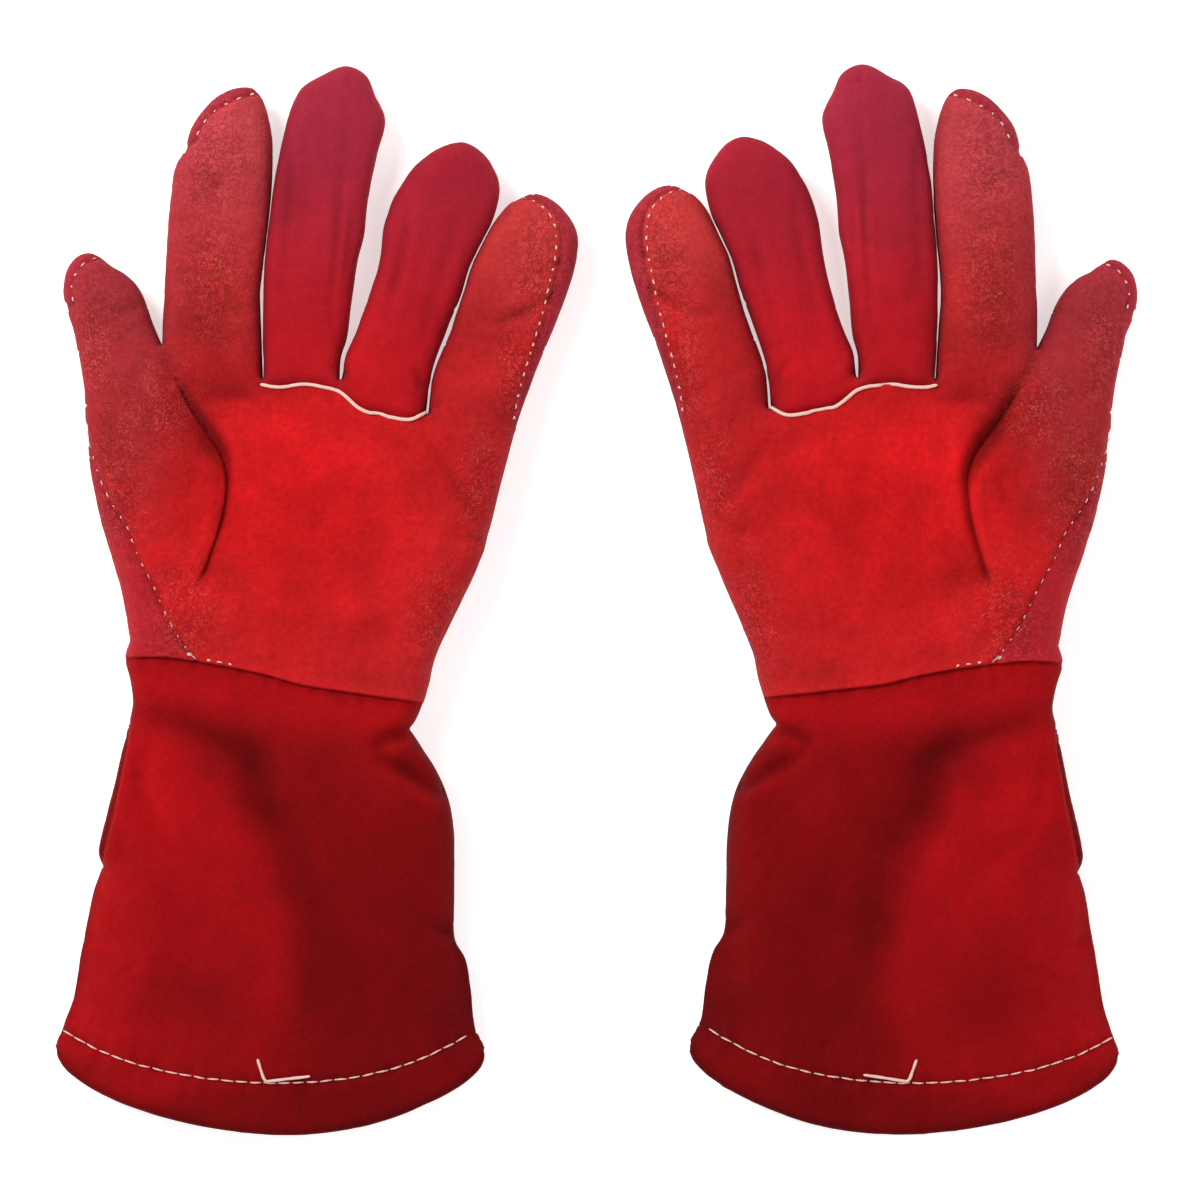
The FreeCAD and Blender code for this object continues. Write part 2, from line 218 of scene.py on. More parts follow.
# creases of the front: (x, y, depth, half width) along each one
CREASES = [
    # the fold of the thumb
    [(-44, 108.5, 1.2, 2), (-38, 96.5, 2, 2.6), (-32.5, 86.5, 3.2, 3.6), (-26, 77.5, 4.2, 4),
     (-21.5, 70.5, 3.4, 2.8), (-20, 62, 2, 1.7), (-20.8, 52, 1.7, 1.3), (-23.5, 42, 1.4, 1.2),
     (-27, 30.5, 0.9, 1.8)],
    [(-31, 69, 0.3, 1.6), (-30.5, 62, 0.8, 1.6), (-33, 55, 0.2, 1.6)],
    # the palm
    [(28.5, 85, 0.4, 4), (38, 79.5, 1.3, 4), (48, 72.5, 0.4, 4)],
    [(69.5, 50.5, 2, 1.6), (62, 49.5, 0.9, 2.2), (53, 46, 0.2, 3)],
    [(-44, 20, 0.3, 4), (-30, 30, 1, 5), (-10, 34, 0.5, 6)],
    [(16, 12, 0.2, 4), (34, 18, 0.9, 5), (52, 16, 0.5, 4)],
    # the little finger
    [(60, 123.5, 0.3, 1.8), (67, 122.5, 1, 1.9), (75, 125, 1.5, 1.8), (82, 129.5, 1.3, 1.5),
     (88.5, 133.5, 1, 1.2)],
    [(78, 137.5, 0.3, 1.1), (83, 140, 0.8, 1.1), (89, 145, 0.7, 1)],
    [(49, 108, 0.6, 2), (56, 104, 0.7, 2.4), (63, 103, 0.1, 3)],
    # the middle finger
    [(14.5, 190, 0.2, 1.6), (13.2, 176, 0.6, 1.5), (12.8, 160, 0.8, 1.3), (12.5, 140, 0.9, 1.2),
     (11.8, 117, 0.4, 1.6)],
    [(18.2, 160, 0.2, 1.2), (17.2, 148, 0.8, 1.1), (15.8, 134, 0.5, 1.1), (15.6, 124, 0.2, 1.2)],
    [(-5.5, 181, 0.2, 1.6), (-4.4, 165, 0.7, 1.8), (-5, 146, 0.6, 1.8), (-4.2, 124, 0.2, 2.2)],
    [(-10, 150, 0.7, 1.2), (-4, 152, 0.4, 1.6), (4, 151, 0.1, 2)],
    [(12.4, 203.5, 1.6, 0.7), (13.6, 200, 1.1, 0.7), (14.2, 196.5, 0.2, 0.8)],
    # the ring finger
    [(36, 163, 0.2, 2), (35.5, 148, 0.8, 2), (32, 130, 0.9, 2), (28, 112, 0.4, 2.2)],
    [(53.5, 160, 0.2, 2), (49, 142, 0.7, 2.2), (44.5, 124, 0.6, 2), (42, 110, 0.3, 2)],
    [(38.5, 106, 0.3, 1.2), (42.2, 103, 1.4, 1.3), (44.4, 97.5, 1.8, 1.4)],
    [(16.5, 105, 1.6, 1.5), (19.5, 99, 1, 1.8), (25, 96, 0.2, 2.4)],
    # the index finger
    [(-44, 151, 0.9, 1.6), (-36, 150, 0.5, 2.2), (-24, 152, 0.2, 3)],
    [(-33, 168, 0.3, 2.2), (-29.5, 164.5, 1.2, 2.2), (-26, 161, 0.3, 2.4)],
    [(-12, 124, 0.8, 1.6), (-19, 121, 0.5, 2.2), (-28, 121, 0.1, 3)],
    # the thumb
    [(-50, 122, 0.9, 1.4), (-57, 119, 0.8, 2), (-65, 114, 0.3, 2.6)],
    [(-77, 113, 0.2, 2.4), (-71, 112, 0.6, 2.2), (-64, 106, 0.1, 2.4)],
    [(-66, 96, 0.2, 2.4), (-57, 92, 0.7, 2.8), (-50, 84, 0.3, 3)],
    [(-34.5, 89.5, 0.3, 1.8), (-22, 91.2, 1.1, 1.7), (-8, 92, 0.4, 1.8)],
    [(44, 84, 0.6, 3), (52, 73, 1.3, 3.4), (60, 62, 1.2, 3.2), (67, 53, 1, 2.2)],
    # the cuff
    [(-43, -23, 0.6, 2.6), (-41, -40, 1.3, 3), (-33, -56, 1.5, 3.6), (-20, -64, 0.8, 4.5),
     (-8, -66, 0.2, 5)],
    [(28, -56, 0.3, 6), (34, -78, 1.5, 7), (36, -104, 1.2, 8), (30, -124, 0.3, 7)],
    [(-52, -78, 0.2, 5), (-40, -86, 1, 6), (-20, -92, 0.3, 7)],
    [(-41, -14, 1, 4.5), (-24, -19, 2, 5.5), (-6, -26, 2.6, 6.5), (-2, -42, 2.1, 8.5), (9, -60, 2, 10),
     (16, -80, 2, 10), (20, -100, 1.2, 11), (18, -118, 0.4, 11)],
    [(46.5, -16, 3, 2.4), (39, -18, 2.4, 2.6), (32, -23, 0.8, 3)],
    [(34, -24, 0.7, 2.2), (44, -27.5, 2.2, 2.8), (54, -33, 2.2, 2.8), (61, -38, 1.2, 2.4)],
    [(64.5, -83, 2.2, 2), (57, -80, 1, 3), (46, -72, 0.3, 5)],
    [(43, -58, 0.2, 0.7), (48, -63.5, 0.7, 0.8), (53, -69.5, 0.2, 0.7)],
    [(-48, -104, 0.1, 0.7), (-42, -99, 0.6, 0.8), (-38, -94.5, 0.1, 0.7)],
    [(-58, -88, 1, 2), (-50, -92, 0.6, 3), (-38, -94, 0.2, 4)],
]

# soft rises and hollows of the front: centre x, y, half sizes, turn in degrees and height
MOUNDS = [
    (-46, 68, 16, 30, 12, 2.2), (-38, 26, 14, 18, 25, 0.9), (10, 50, 26, 30, 0, -2.2),
    (48, 34, 13, 28, -12, 1.3), (-28, 96, 16, 12, 0, 0.9), (60, 92, 12, 16, -15, 1),
    (20, 80, 22, 8, -14, 0.9), (-29, 180, 10, 12, 15, 0.8), (-28, 140, 9, 12, 0, 0.6),
    (9, 190, 10, 12, -5, 0.8), (4, 140, 6, 18, 0, 0.7), (49, 168, 11, 11, 0, 0.8),
    (38, 128, 8, 18, -15, 0.7), (78, 150, 10, 12, 0, 0.8), (68, 112, 8, 14, -18, 0.6),
    (-66, 126, 7, 9, 20, 0.6), (-60, 106, 7, 10, 20, 0.5), (-36, -60, 13, 42, -8, 2.6),
    (38, -72, 14, 32, 12, 1.4), (-16, -110, 22, 22, 0, 1.3), (46, -112, 16, 16, 15, 1.2),
    (12, -16, 16, 9, -8, 1.3), (-30, -8, 14, 5, 0, 0.8), (30, -44, 10, 14, 20, 1.2),
]

HEM_STITCHES = [
    (-65.2, -121.6), (-54, -126.4), (-40, -130.6), (-25, -133.2), (-8, -134.6), (12, -134.3),
    (32, -131.6), (48.5, -127), (61.6, -121), (72.6, -114.6),
]
TAIL = [(1.3, -126.8), (2.6, -130.4), (4.2, -133.6), (6.8, -133.6), (12.5, -132.6), (19.2, -131.5)]

# left of this line the cuff is painted lighter, as painted light on the rise of its fold, and right of
# it painted shade
CUFF_SHADE = [
    (-60, -14), (-40, -17), (-22, -23), (-14, -30), (-7, -43.5), (3, -57),
    (8.5, -72), (11, -90), (10, -152),
]

# painted shade (below 0) and painted light (above 0) of the folds and hollows, with some uneven dye:
# centre x, y, half sizes, turn in degrees and the change in brightness
SHADE_AND_LIGHT_SPOTS = [
    (-26, 111, 17, 11, 0, -0.24), (-32, 82, 9, 17, 22, -0.32), (-16, 95, 17, 4, 0, -0.14),
    (-56, 62, 13, 26, 14, -0.10), (62, 84, 12, 26, -15, -0.14), (60, 30, 10, 22, -20, -0.10),
    (-52, 116, 7, 14, 30, -0.12), (10, 60, 21, 20, 0, 0.18), (-22, 60, 4, 14, 5, -0.12),
    (4, 102, 12, 6, 0, -0.10), (32, 96, 14, 7, 0, -0.08), (-20, -138, 60, 11, 0, -0.10),
    (50, -100, 24, 34, 0, -0.18), (47, -25, 14, 6, -36, -0.20), (24, -143, 40, 12, 0, -0.14),
    (-20, 97, 14, 9, 0, -0.34), (-20, -106, 22, 16, 0, -0.26), (2, -78, 16, 14, 0, -0.12),
    (-36, -140, 26, 8, 12, 0.40), (-36, -42, 9, 20, 10, 0.10), (0, -118, 50, 16, 0, -0.12),
    (-35, 60, 10, 14, 0, -0.22), (-14, 37, 8, 13, 0, -0.14), (45, 65, 8, 18, 35, -0.14),
    (75, 115, 6, 22, -30, 0.26), (56, 121, 6, 20, -30, -0.20), (-17, 123, 6, 11, 0, 0.28),
    (22, 142, 6, 30, 0, 0.16), (-3, 156, 5, 24, 0, -0.12), (-19, -31, 8, 7, 0, -0.22),
    (11, -66, 6, 15, 15, 0.16), (46, -24, 17, 14, 0, 0.26), (28, -10, 20, 7, 0, 0.14),
    (64, -136, 14, 6, -25, 0.06), (66, -112, 8, 13, 0, -0.22), (40, -125, 9, 10, 0, -0.12),
    (-44, -62, 10, 16, 0, -0.10), (-26, -98, 30, 26, 0, -0.09), (4, -13, 50, 8, -8, 0.20),
    (16, 85, 26, 8, -14, -0.12), (-19, 136, 9, 30, 0, 0.12), (54, -34, 8, 6, -30, 0.20),
    (68, 60, 5, 26, -22, 0.14), (46, 94, 6, 8, 0, -0.14),
]

# where neighbouring fingers nearly touch: centre x, y, half sizes and turn in degrees
TOUCHING = [
    (-11.2, 152, 5, 26, 0), (-9.8, 100, 5, 9, 0), (16, 100, 4, 6, 0), (60, 146, 7, 24, -28),
    (45.6, 92, 5, 12, 0),
]

# colours of the leather, linear: (base, tip) for digits, (middle, edge) elsewhere; the cuff's pair is
# its leather in painted shade and in painted light
PAINT = {
    "palm": ((0.66, 0.008, 0.010), (0.43, 0.012, 0.014)),
    "thumb": ((0.38, 0.018, 0.020), (0.36, 0.026, 0.036)),
    "index": ((0.38, 0.016, 0.016), (0.50, 0.048, 0.062)),
    "middle": ((0.42, 0.006, 0.010), (0.32, 0.018, 0.040)),
    "ring": ((0.46, 0.006, 0.010), (0.33, 0.012, 0.026)),
    "little": ((0.44, 0.012, 0.014), (0.53, 0.036, 0.036)),
    "strip": ((0.41, 0.013, 0.022), (0.35, 0.020, 0.036)),
    "cuff": ((0.175, 0.0015, 0.0025), (0.345, 0.003, 0.005)),
}


def spaced(line, step):
    """The same line as points about one step apart."""
    line = np.asarray(line, float)
    run = np.concatenate([[0.0], np.cumsum(np.linalg.norm(np.diff(line, axis=0), axis=1))])
    count = max(2, int(round(run[-1] / step)) + 1)
    at = np.linspace(0.0, run[-1], count)
    return np.column_stack([np.interp(at, run, line[:, i]) for i in range(line.shape[1])])


def smooth_line(points, step):
    """A smooth curve through the points, as points about one step apart."""
    p = np.asarray(points, float)
    p = np.vstack([2 * p[0] - p[1], p, 2 * p[-1] - p[-2]])
    t = np.linspace(0.0, 1.0, 13)[:-1, None]
    runs = []
    for a, b, c, d in zip(p, p[1:], p[2:], p[3:]):
        bend = (2 * a - 5 * b + 4 * c - d) * t**2 + (3 * b - a - 3 * c + d) * t**3
        runs.append(0.5 * (2 * b + (c - a) * t + bend))
    return spaced(np.vstack(runs + [p[-2:-1]]), step)


def ease(low, high, value):
    """0 below low, 1 above high and a smooth rise between them."""
    t = np.clip((value - low) / (high - low), 0.0, 1.0)
    return t * t * (3.0 - 2.0 * t)


def fading(dist, width):
    """1 at a distance of 0, and softly less to about 0 at twice the width."""
    return np.exp(-((dist / width) ** 2))


def near_line(xy, line):
    """Distance of each point to a line, how far along it the nearest place is, and on which side."""
    best = np.full(len(xy), 1e9)
    along = np.zeros(len(xy))
    side = np.zeros(len(xy))
    start = 0.0
    for a, b in zip(line[:-1, :2], line[1:, :2]):
        d = b - a
        length = float(np.hypot(d[0], d[1]))
        t = np.clip((xy - a) @ d / length**2, 0.0, 1.0)
        gap = xy - a - t[:, None] * d
        dist = np.hypot(gap[:, 0], gap[:, 1])
        closer = dist < best
        best[closer] = dist[closer]
        along[closer] = start + t[closer] * length
        side[closer] = (d[0] * gap[closer, 1] - d[1] * gap[closer, 0]) / length
        start += length
    return best, along, np.where(side >= -0.05, 1.0, -1.0), start


def beside(xy, points, step=1.0):
    """near_line for a smooth curve through the points."""
    return near_line(xy, smooth_line(points, step))


def inside(xy, loop):
    """Which points lie inside a closed loop."""
    found = np.zeros(len(xy), bool)
    x, y = xy[:, 0], xy[:, 1]
    for a, b in zip(loop, np.roll(loop, -1, axis=0)):
        if a[1] == b[1]:
            continue
        crosses = (a[1] > y) != (b[1] > y)
        found ^= crosses & (x < (b[0] - a[0]) * (y - a[1]) / (b[1] - a[1]) + a[0])
    return found


def tree_of(points):
    """A tree that finds the nearest of some flat points."""
    tree = KDTree(len(points))
    for i, p in enumerate(points):
        tree.insert((p[0], p[1], 0.0), i)
    tree.balance()
    return tree


def far_from(points, tree, gap):
    """The points that are more than a gap away from everything in the tree."""
    keep = [tree.find((p[0], p[1], 0.0))[2] > gap for p in points]
    return points[np.array(keep, bool)] if len(points) else points


def left_of(d):
    """Flat directions turned to their left, one long."""
    return np.column_stack([-d[:, 1], d[:, 0]]) / np.linalg.norm(d, axis=1)[:, None]


def make_outline(step):
    """The closed outline, the directions away from the glove, and which points are on the hem."""
    points, at_hem = [], []
    for name, edge in OUTLINE.items():
        line = smooth_line(edge, step)
        for i, p in enumerate(line):
            if points and np.linalg.norm(p - points[-1]) < 1e-6:
                continue
            points.append(p)
            at_hem.append(name == "hem" and 0 < i < len(line) - 1)
    points.pop()
    at_hem.pop()
    loop = np.array(points)
    return loop, left_of(np.roll(loop, -1, axis=0) - np.roll(loop, 1, axis=0)), np.array(at_hem)


def from_outline(ids, points, count):
    """A cut that starts on the outline, with a point at each of the edge rows."""
    if ids[0] >= count or ids[1] < count:
        return ids
    a, b = np.array(points[ids[0]]), np.array(points[ids[1]])
    length = np.linalg.norm(b - a)
    fresh = []
    for gap in EDGE_ROWS:
        if gap < length - 0.25:
            fresh.append(len(points))
            points.append(tuple(a + (b - a) * gap / length))
    return ids[:1] + fresh + ids[1:]


def add_cuts(points, cuts):
    """Adds the cuts to the outline's points. Gives the cuts and all edges, the outline's first."""
    count = len(points)
    edges = [(i, (i + 1) % count) for i in range(count)]
    lines = [smooth_line(line, STEP) for line in cuts.values()]
    for line in lines:
        tree = tree_of(points)
        ids = []
        for k, p in enumerate(line):
            place, i, dist = tree.find((p[0], p[1], 0.0))
            if dist < JOIN or (k in (0, len(line) - 1) and dist < JOIN_ENDS):
                ids.append(i)
            else:
                ids.append(len(points))
                points.append(tuple(p))
        ids = [i for k, i in enumerate(ids) if k == 0 or i != ids[k - 1]]
        ids = from_outline(ids, points, count)
        ids = from_outline(ids[::-1], points, count)
        for a, b in zip(ids, ids[1:]):
            if (a, b) not in edges and (b, a) not in edges:
                edges.append((a, b))
    return lines, edges


def rows_at_cuts(lines, loop, tree):
    """Points in rows on both sides of the cuts."""
    rows = []
    for line in lines:
        left = left_of(np.gradient(line, axis=0))
        for gap in SEAM_ROWS:
            rows += [line + gap * left, line - gap * left]
    rows = np.vstack(rows)
    return thin_out(far_from(rows[inside(rows, loop)], tree, 0.5), 0.5)


def rows_at_outline(loop, outward, at_hem, tree):
    """Points in rows just inside the outline, except at the open hem."""
    border = tree_of(loop)
    rows = []
    for gap in EDGE_ROWS:
        row = (loop - gap * outward)[~at_hem]
        row = far_from(row[inside(row, loop)], border, 0.85 * gap)
        rows.append(far_from(row, tree, 0.45))
    return np.vstack(rows)


def even_grid(loop, tree, step):
    """Points in a grid of even triangles, inside the outline and clear of the others."""
    low, high = loop.min(0), loop.max(0)
    rise = step * math.sqrt(3.0) / 2.0
    grid = []
    for j, y in enumerate(np.arange(low[1], high[1], rise)):
        xs = np.arange(low[0] + (j % 2) * step / 2.0, high[0], step)
        grid.append(np.column_stack([xs, np.full(len(xs), y)]))
    grid = np.vstack(grid)
    return far_from(grid[inside(grid, loop)], tree, 0.72 * step)


def flat_mesh(loop, outward, at_hem, cuts, step):
    """Triangles over the outline: points, triangles, the edges on cuts and the outline's points."""
    points = [tuple(p) for p in loop]
    lines, edges = add_cuts(points, cuts)
    rows = rows_at_cuts(lines, loop, tree_of(points))
    tree = tree_of(points[len(loop):] + list(rows))
    rows = np.vstack([rows, rows_at_outline(loop, outward, at_hem, tree)])
    points += [tuple(p) for p in rows]
    points += [tuple(p) for p in even_grid(loop, tree_of(points), step)]
    inside_only = 1
    found = delaunay_2d_cdt([Vector(p) for p in points], edges, [], inside_only, 1e-5)
    corners, sides, tris, corner_sources, side_sources, tri_sources = found
    walls = set()
    for side, sources in zip(sides, side_sources):
        if any(len(loop) <= i < len(edges) for i in sources):
            walls.add((min(side), max(side)))
    place_of = {k: i for i, sources in enumerate(corner_sources) for k in sources}
    rim = np.array([place_of[i] for i in range(len(loop))])
    return np.array([tuple(p) for p in corners]), np.array(tris), walls, rim


def thin_out(points, gap):
    """The points without those that crowd an earlier one."""
    tree = tree_of(points)
    dropped = set()
    for i, p in enumerate(points):
        if i in dropped:
            continue
        for place, k, dist in tree.find_range((p[0], p[1], 0.0), gap):
            if k > i:
                dropped.add(k)
    return points[[i for i in range(len(points)) if i not in dropped]]


def sides_of(tri):
    """The sides of a triangle, each as an ordered pair of points."""
    a, b, c = tri
    return [(min(p, q), max(p, q)) for p, q in ((a, b), (b, c), (c, a))]


def label_pieces(xy, tris, walls, names):
    """The piece of each triangle: those that a flood from the piece's own point reaches."""
    across = {}
    for t, tri in enumerate(tris):
        for pair in sides_of(tri):
            across.setdefault(pair, []).append(t)
    centre = xy[tris].mean(1)
    labels = np.full(len(tris), -1)
    for k, (name, seed) in enumerate(names):
        first = int(np.argmin(np.hypot(*(centre - np.array(seed)).T)))
        if labels[first] >= 0:
            raise ValueError(f"{name} runs into {names[labels[first]][0]}")
        labels[first] = k
        waiting = [first]
        while waiting:
            for pair in sides_of(tris[waiting.pop()]):
                for other in across[pair]:
                    if pair not in walls and labels[other] < 0:
                        labels[other] = k
                        waiting.append(other)
    return labels


def spans(xy, tris):
    """Twice the area of each triangle, below 0 where it faces down."""
    p, q, r = xy[tris[:, 0]], xy[tris[:, 1]], xy[tris[:, 2]]
    return (q - p)[:, 0] * (r - p)[:, 1] - (q - p)[:, 1] * (r - p)[:, 0]


def blow_up(xy, tris, held):
    """The membrane of a blown-up outline: 0 where it is held, and highest in the middle."""
    count = len(xy)
    area = np.maximum(0.5 * np.abs(spans(xy, tris)), 1e-7)
    load = np.zeros(count)
    first, second, weight = [], [], []
    for i, j, k in ((0, 1, 2), (1, 2, 0), (2, 0, 1)):
        a, b, c = xy[tris[:, i]], xy[tris[:, j]], xy[tris[:, k]]
        first.append(tris[:, i])
        second.append(tris[:, j])
        weight.append(np.einsum("ij,ij->i", a - c, b - c) / (4.0 * area))
        load += np.bincount(tris[:, i], area / 3.0, count)
    first, second, weight = map(np.concatenate, (first, second, weight))
    total = np.bincount(first, weight, count) + np.bincount(second, weight, count)
    free = ~held

    def apply(x):
        spread = np.bincount(first, weight * x[second], count)
        spread += np.bincount(second, weight * x[first], count)
        return np.where(free, total * x - spread, 0.0)

    x = np.zeros(count)
    left = np.where(free, load, 0.0)
    scale = 1.0 / np.maximum(total, 1e-9)
    z = left * scale
    way = z.copy()
    power = left @ z
    goal = 1e-10 * power
    for turn in range(1500):
        pull = apply(way)
        size = power / (way @ pull)
        x += size * way
        left -= size * pull
        z = left * scale
        fresh = left @ z
        if fresh < goal:
            break
        way = z + fresh / power * way
        power = fresh
    return np.maximum(x, 0.0)


def caps(xy):
    """How high the front and back stand off the middle, and the height of that middle."""
    x, y = xy[:, 0], xy[:, 1]
    digit = np.maximum(ease(88.0, 112.0, y), ease(-40.0, -56.0, x) * ease(70.0, 100.0, y))
    cuff = ease(2.0, -40.0, y)
    pinch = fading(y + 6.0, 13.0)
    mouth = ease(-25.0, -115.0, y)
    # in the palm, and what changes in the digits, the cuff, the wrist and the mouth of the cuff
    cap = 13.8 - 3.6 * digit + 0.9 * cuff - 1.6 * pinch + 3.2 * mouth
    middle = 12.0 - 2.4 * digit + 0.5 * cuff - 0.6 * pinch - 3.4 * mouth
    return cap, middle, digit


def heights(xy, membrane):
    """Heights of the front and the back surface."""
    cap, middle, digit = caps(xy)
    # the fingers and the palm are round at their sides, and the cuff turns into a flat lens
    lens = 0.94 * ease(-15.0, -105.0, xy[:, 1])
    round_part = (0.80 + 0.22 * digit) * np.sqrt(2.0 * membrane) / cap
    dome = cap * np.tanh((1.0 - lens) * round_part + lens * membrane / (105.0 * cap))
    low = middle - 1.05 * dome
    # where the back would be below the table it lies flat on it, without a corner
    flat = 0.5 * (low + np.sqrt(low * low + 2.5)) - 0.35
    return middle + dome, np.maximum(flat, 0.0)


def crease_depth(xy, line):
    """How deep a crease presses in, with soft raised lips on both sides of it."""
    line = smooth_line(line, 1.0)
    dist, along, side, length = near_line(xy, line)
    run = np.linspace(0.0, length, len(line))
    depth = np.interp(along, run, line[:, 2])
    depth = depth * ease(0.0, 3.0, along) * ease(length, length - 3.0, along)
    width = np.interp(along, run, line[:, 3])
    dip = fading(dist, width)
    lips = 0.28 * fading(dist - 2.1 * width, width)
    return depth * (lips - dip)


def seam_groove(xy, line, depth, width, pitch):
    """A sewn seam: a groove, and small puckers where each stitch draws the leather in."""
    dist, along, side, length = beside(xy, line)
    pull = 0.5 + 0.5 * np.cos(2.0 * np.pi * along / pitch)
    groove = -depth * fading(dist, width)
    puckers = -0.30 * pull * fading(dist, 2.6 * width)
    swell = 0.35 * depth * fading(dist - 2.6 * width, 1.6 * width)
    return groove + puckers + swell


def lapped_seam(xy, line, high, low, reach):
    """One panel over another: it stands up left of the line and the other sinks on the right."""
    dist, along, side, length = beside(xy, line)
    fade = ease(0.0, 4.0, along) * ease(length, length - 4.0, along)
    up = high * fading(dist, reach)
    down = -low * fading(dist, 0.7 * reach)
    return np.where(side > 0, up, down) * (0.35 + 0.65 * fade)


def unevenness(xy, seed, rough):
    """The small waves of soft leather."""
    waves = np.zeros(len(xy))
    for i, (x, y) in enumerate(xy):
        broad = noise.noise(Vector((x / 17.0 + seed, y / 21.0, seed)))
        small = noise.noise(Vector((x / 6.5, y / 8.0 + seed, 2.0 * seed)))
        fine = noise.noise(Vector((x / 2.4, y / 2.7, 3.0 * seed)))
        line = noise.noise(Vector((x / 11.0 + 0.25 * small, y / 7.0, 4.0 * seed)))
        wrinkle = math.exp(-((line / 0.07) ** 2)) * max(0.0, broad + 0.25)
        waves[i] = 0.95 * broad + 0.42 * small + 0.22 * rough[i] * fine - 0.55 * wrinkle
    return waves


def bump_at(xy, x, y, rx, ry, turn):
    """1 at a centre, fading over the two half sizes of an ellipse that is turned by some degrees."""
    c, s = math.cos(math.radians(turn)), math.sin(math.radians(turn))
    dx, dy = xy[:, 0] - x, xy[:, 1] - y
    return np.exp(-(((c * dx + s * dy) / rx) ** 2) - ((c * dy - s * dx) / ry) ** 2)


def gathers(along, long, short, share, shift):
    """Waves of two lengths along a seam, where the leather is drawn together."""
    return np.sin(along * 2.0 * np.pi / long) + share * np.sin(along * 2.0 * np.pi / short + shift)


def front_relief(xy, rough, seed):
    """How far the front of the glove is pressed in or pushed out at each point."""
    lift = unevenness(xy, seed, rough)
    for *place, height in MOUNDS:
        lift += height * bump_at(xy, *place)
    for line in CREASES:
        lift += crease_depth(xy, line)
    for line in STRIP_SEAMS.values():
        lift += seam_groove(xy, line, depth=0.9, width=0.8, pitch=4.0)
    for line, high, low, reach in (
        (WRIST_SEAM, 0.8, 1.3, 2.2), (WELT_LINE[::-1], 0.5, 1.9, 3.0),
        (THUMB_FOLD[::-1], 1.1, 1.5, 4.5),
    ):
        lift += lapped_seam(xy, line, high, low, reach)
    lift += seam_groove(xy, HEM_STITCHES, depth=0.7, width=1.3, pitch=HEM_PITCH)
    dist, along, side, length = beside(xy, HEM_STITCHES)
    lift += 0.28 * gathers(along, 9.5, 6.1, 0.6, 1.0) * fading(dist, 7.0)
    dist, along, side, length = beside(xy, WRIST_SEAM)
    reach = np.where(side < 0, fading(dist, 6.0), 0.3 * fading(dist, 1.0))
    lift += 0.22 * gathers(along, 8.3, 5.2, 0.7, 2.0) * reach
    return lift


def vertex_normals(points, tris):
    """The mean normal of the triangles at each point."""
    a, b, c = points[tris[:, 0]], points[tris[:, 1]], points[tris[:, 2]]
    face = np.cross(b - a, c - a)
    total = np.zeros_like(points)
    for corner in range(3):
        for axis in range(3):
            total[:, axis] += np.bincount(tris[:, corner], face[:, axis], len(points))
    return total / np.maximum(np.linalg.norm(total, axis=1), 1e-12)[:, None]


def rough_zones(xy):
    """1 where the nap of the leather is rubbed up into pale flecks, 0 where it is smooth."""
    spots = [
        (-29, 172, 15, 26), (-66, 108, 9, 26), (-57, 62, 13, 30), (-32, 18, 14, 18), (80, 140, 10, 30),
        (74, 104, 7, 24), (66, 66, 8, 22), (54, 18, 10, 26), (-28, 135, 12, 26), (-44, 88, 14, 16),
    ]
    zone = np.zeros(len(xy))
    for spot in spots:
        zone = np.maximum(zone, bump_at(xy, *spot, turn=0.0))
    return zone


def strip_owner(x, y):
    """The piece of the back that shows outside of a seam on the palm side."""
    if y < -10.0:
        return "cuff_back_panel"
    if y < 86.0 and x < 0.0:
        return "hand_back_panel"
    if x > 50.0:
        return "little_back_upper" if y > 114.0 else "little_back_lower"
    return "thumb_back_upper" if x < -55.0 else "index_back_upper"


def facing_up(xy, tris):
    """The triangles turned so that they all face up."""
    down = spans(xy, tris) < 0
    tris = tris.copy()
    tris[down] = tris[down][:, ::-1]
    return tris


def fill_outline(outline, cuts, step, face):
    """The front (0) or the back (1): points, triangles, pieces, outline points and membrane."""
    xy, tris, walls, rim = flat_mesh(*outline, cuts, step)
    tris = facing_up(xy, tris)
    labels = label_pieces(xy, tris, walls, [(r[face], r[2]) for r in REGIONS])
    held = np.zeros(len(xy), bool)
    held[rim[~outline[2]]] = True
    return xy, tris, labels, rim, blow_up(xy, tris, held)


def skin_relief(flat, is_front, closed, rim_gap, rough, seed):
    """How far each point of the skin moves out along its normal, or in where it is below 0."""
    fade = 0.35 + 0.65 * ease(0.0, 7.0, rim_gap)
    lift = np.zeros(len(flat))
    lift[is_front] = front_relief(flat[is_front], rough[is_front], seed)
    lift[~is_front] = 0.5 * unevenness(flat[~is_front], seed + 5.0, rough[~is_front])
    lift = np.where(lift > 0.0, lift * fade, lift * (0.55 + 0.45 * fade))
    pinch = np.ones(len(closed))
    for place in TOUCHING:
        pinch -= 0.85 * bump_at(flat[closed], *place)
    lift[closed] = (np.minimum(lift[closed], 0.0) - 0.55) * np.maximum(pinch, 0.0)
    return lift


def mouth_directions(outward, at_hem, rims):
    """For each point of the open mouth, the direction that the edge of the leather faces."""
    mouth = {}
    for i in np.flatnonzero(at_hem | np.roll(at_hem, 1) | np.roll(at_hem, -1)):
        for rim in rims:
            mouth[int(rim[i])] = np.array([outward[i, 0], outward[i, 1], 0.0])
    return mouth


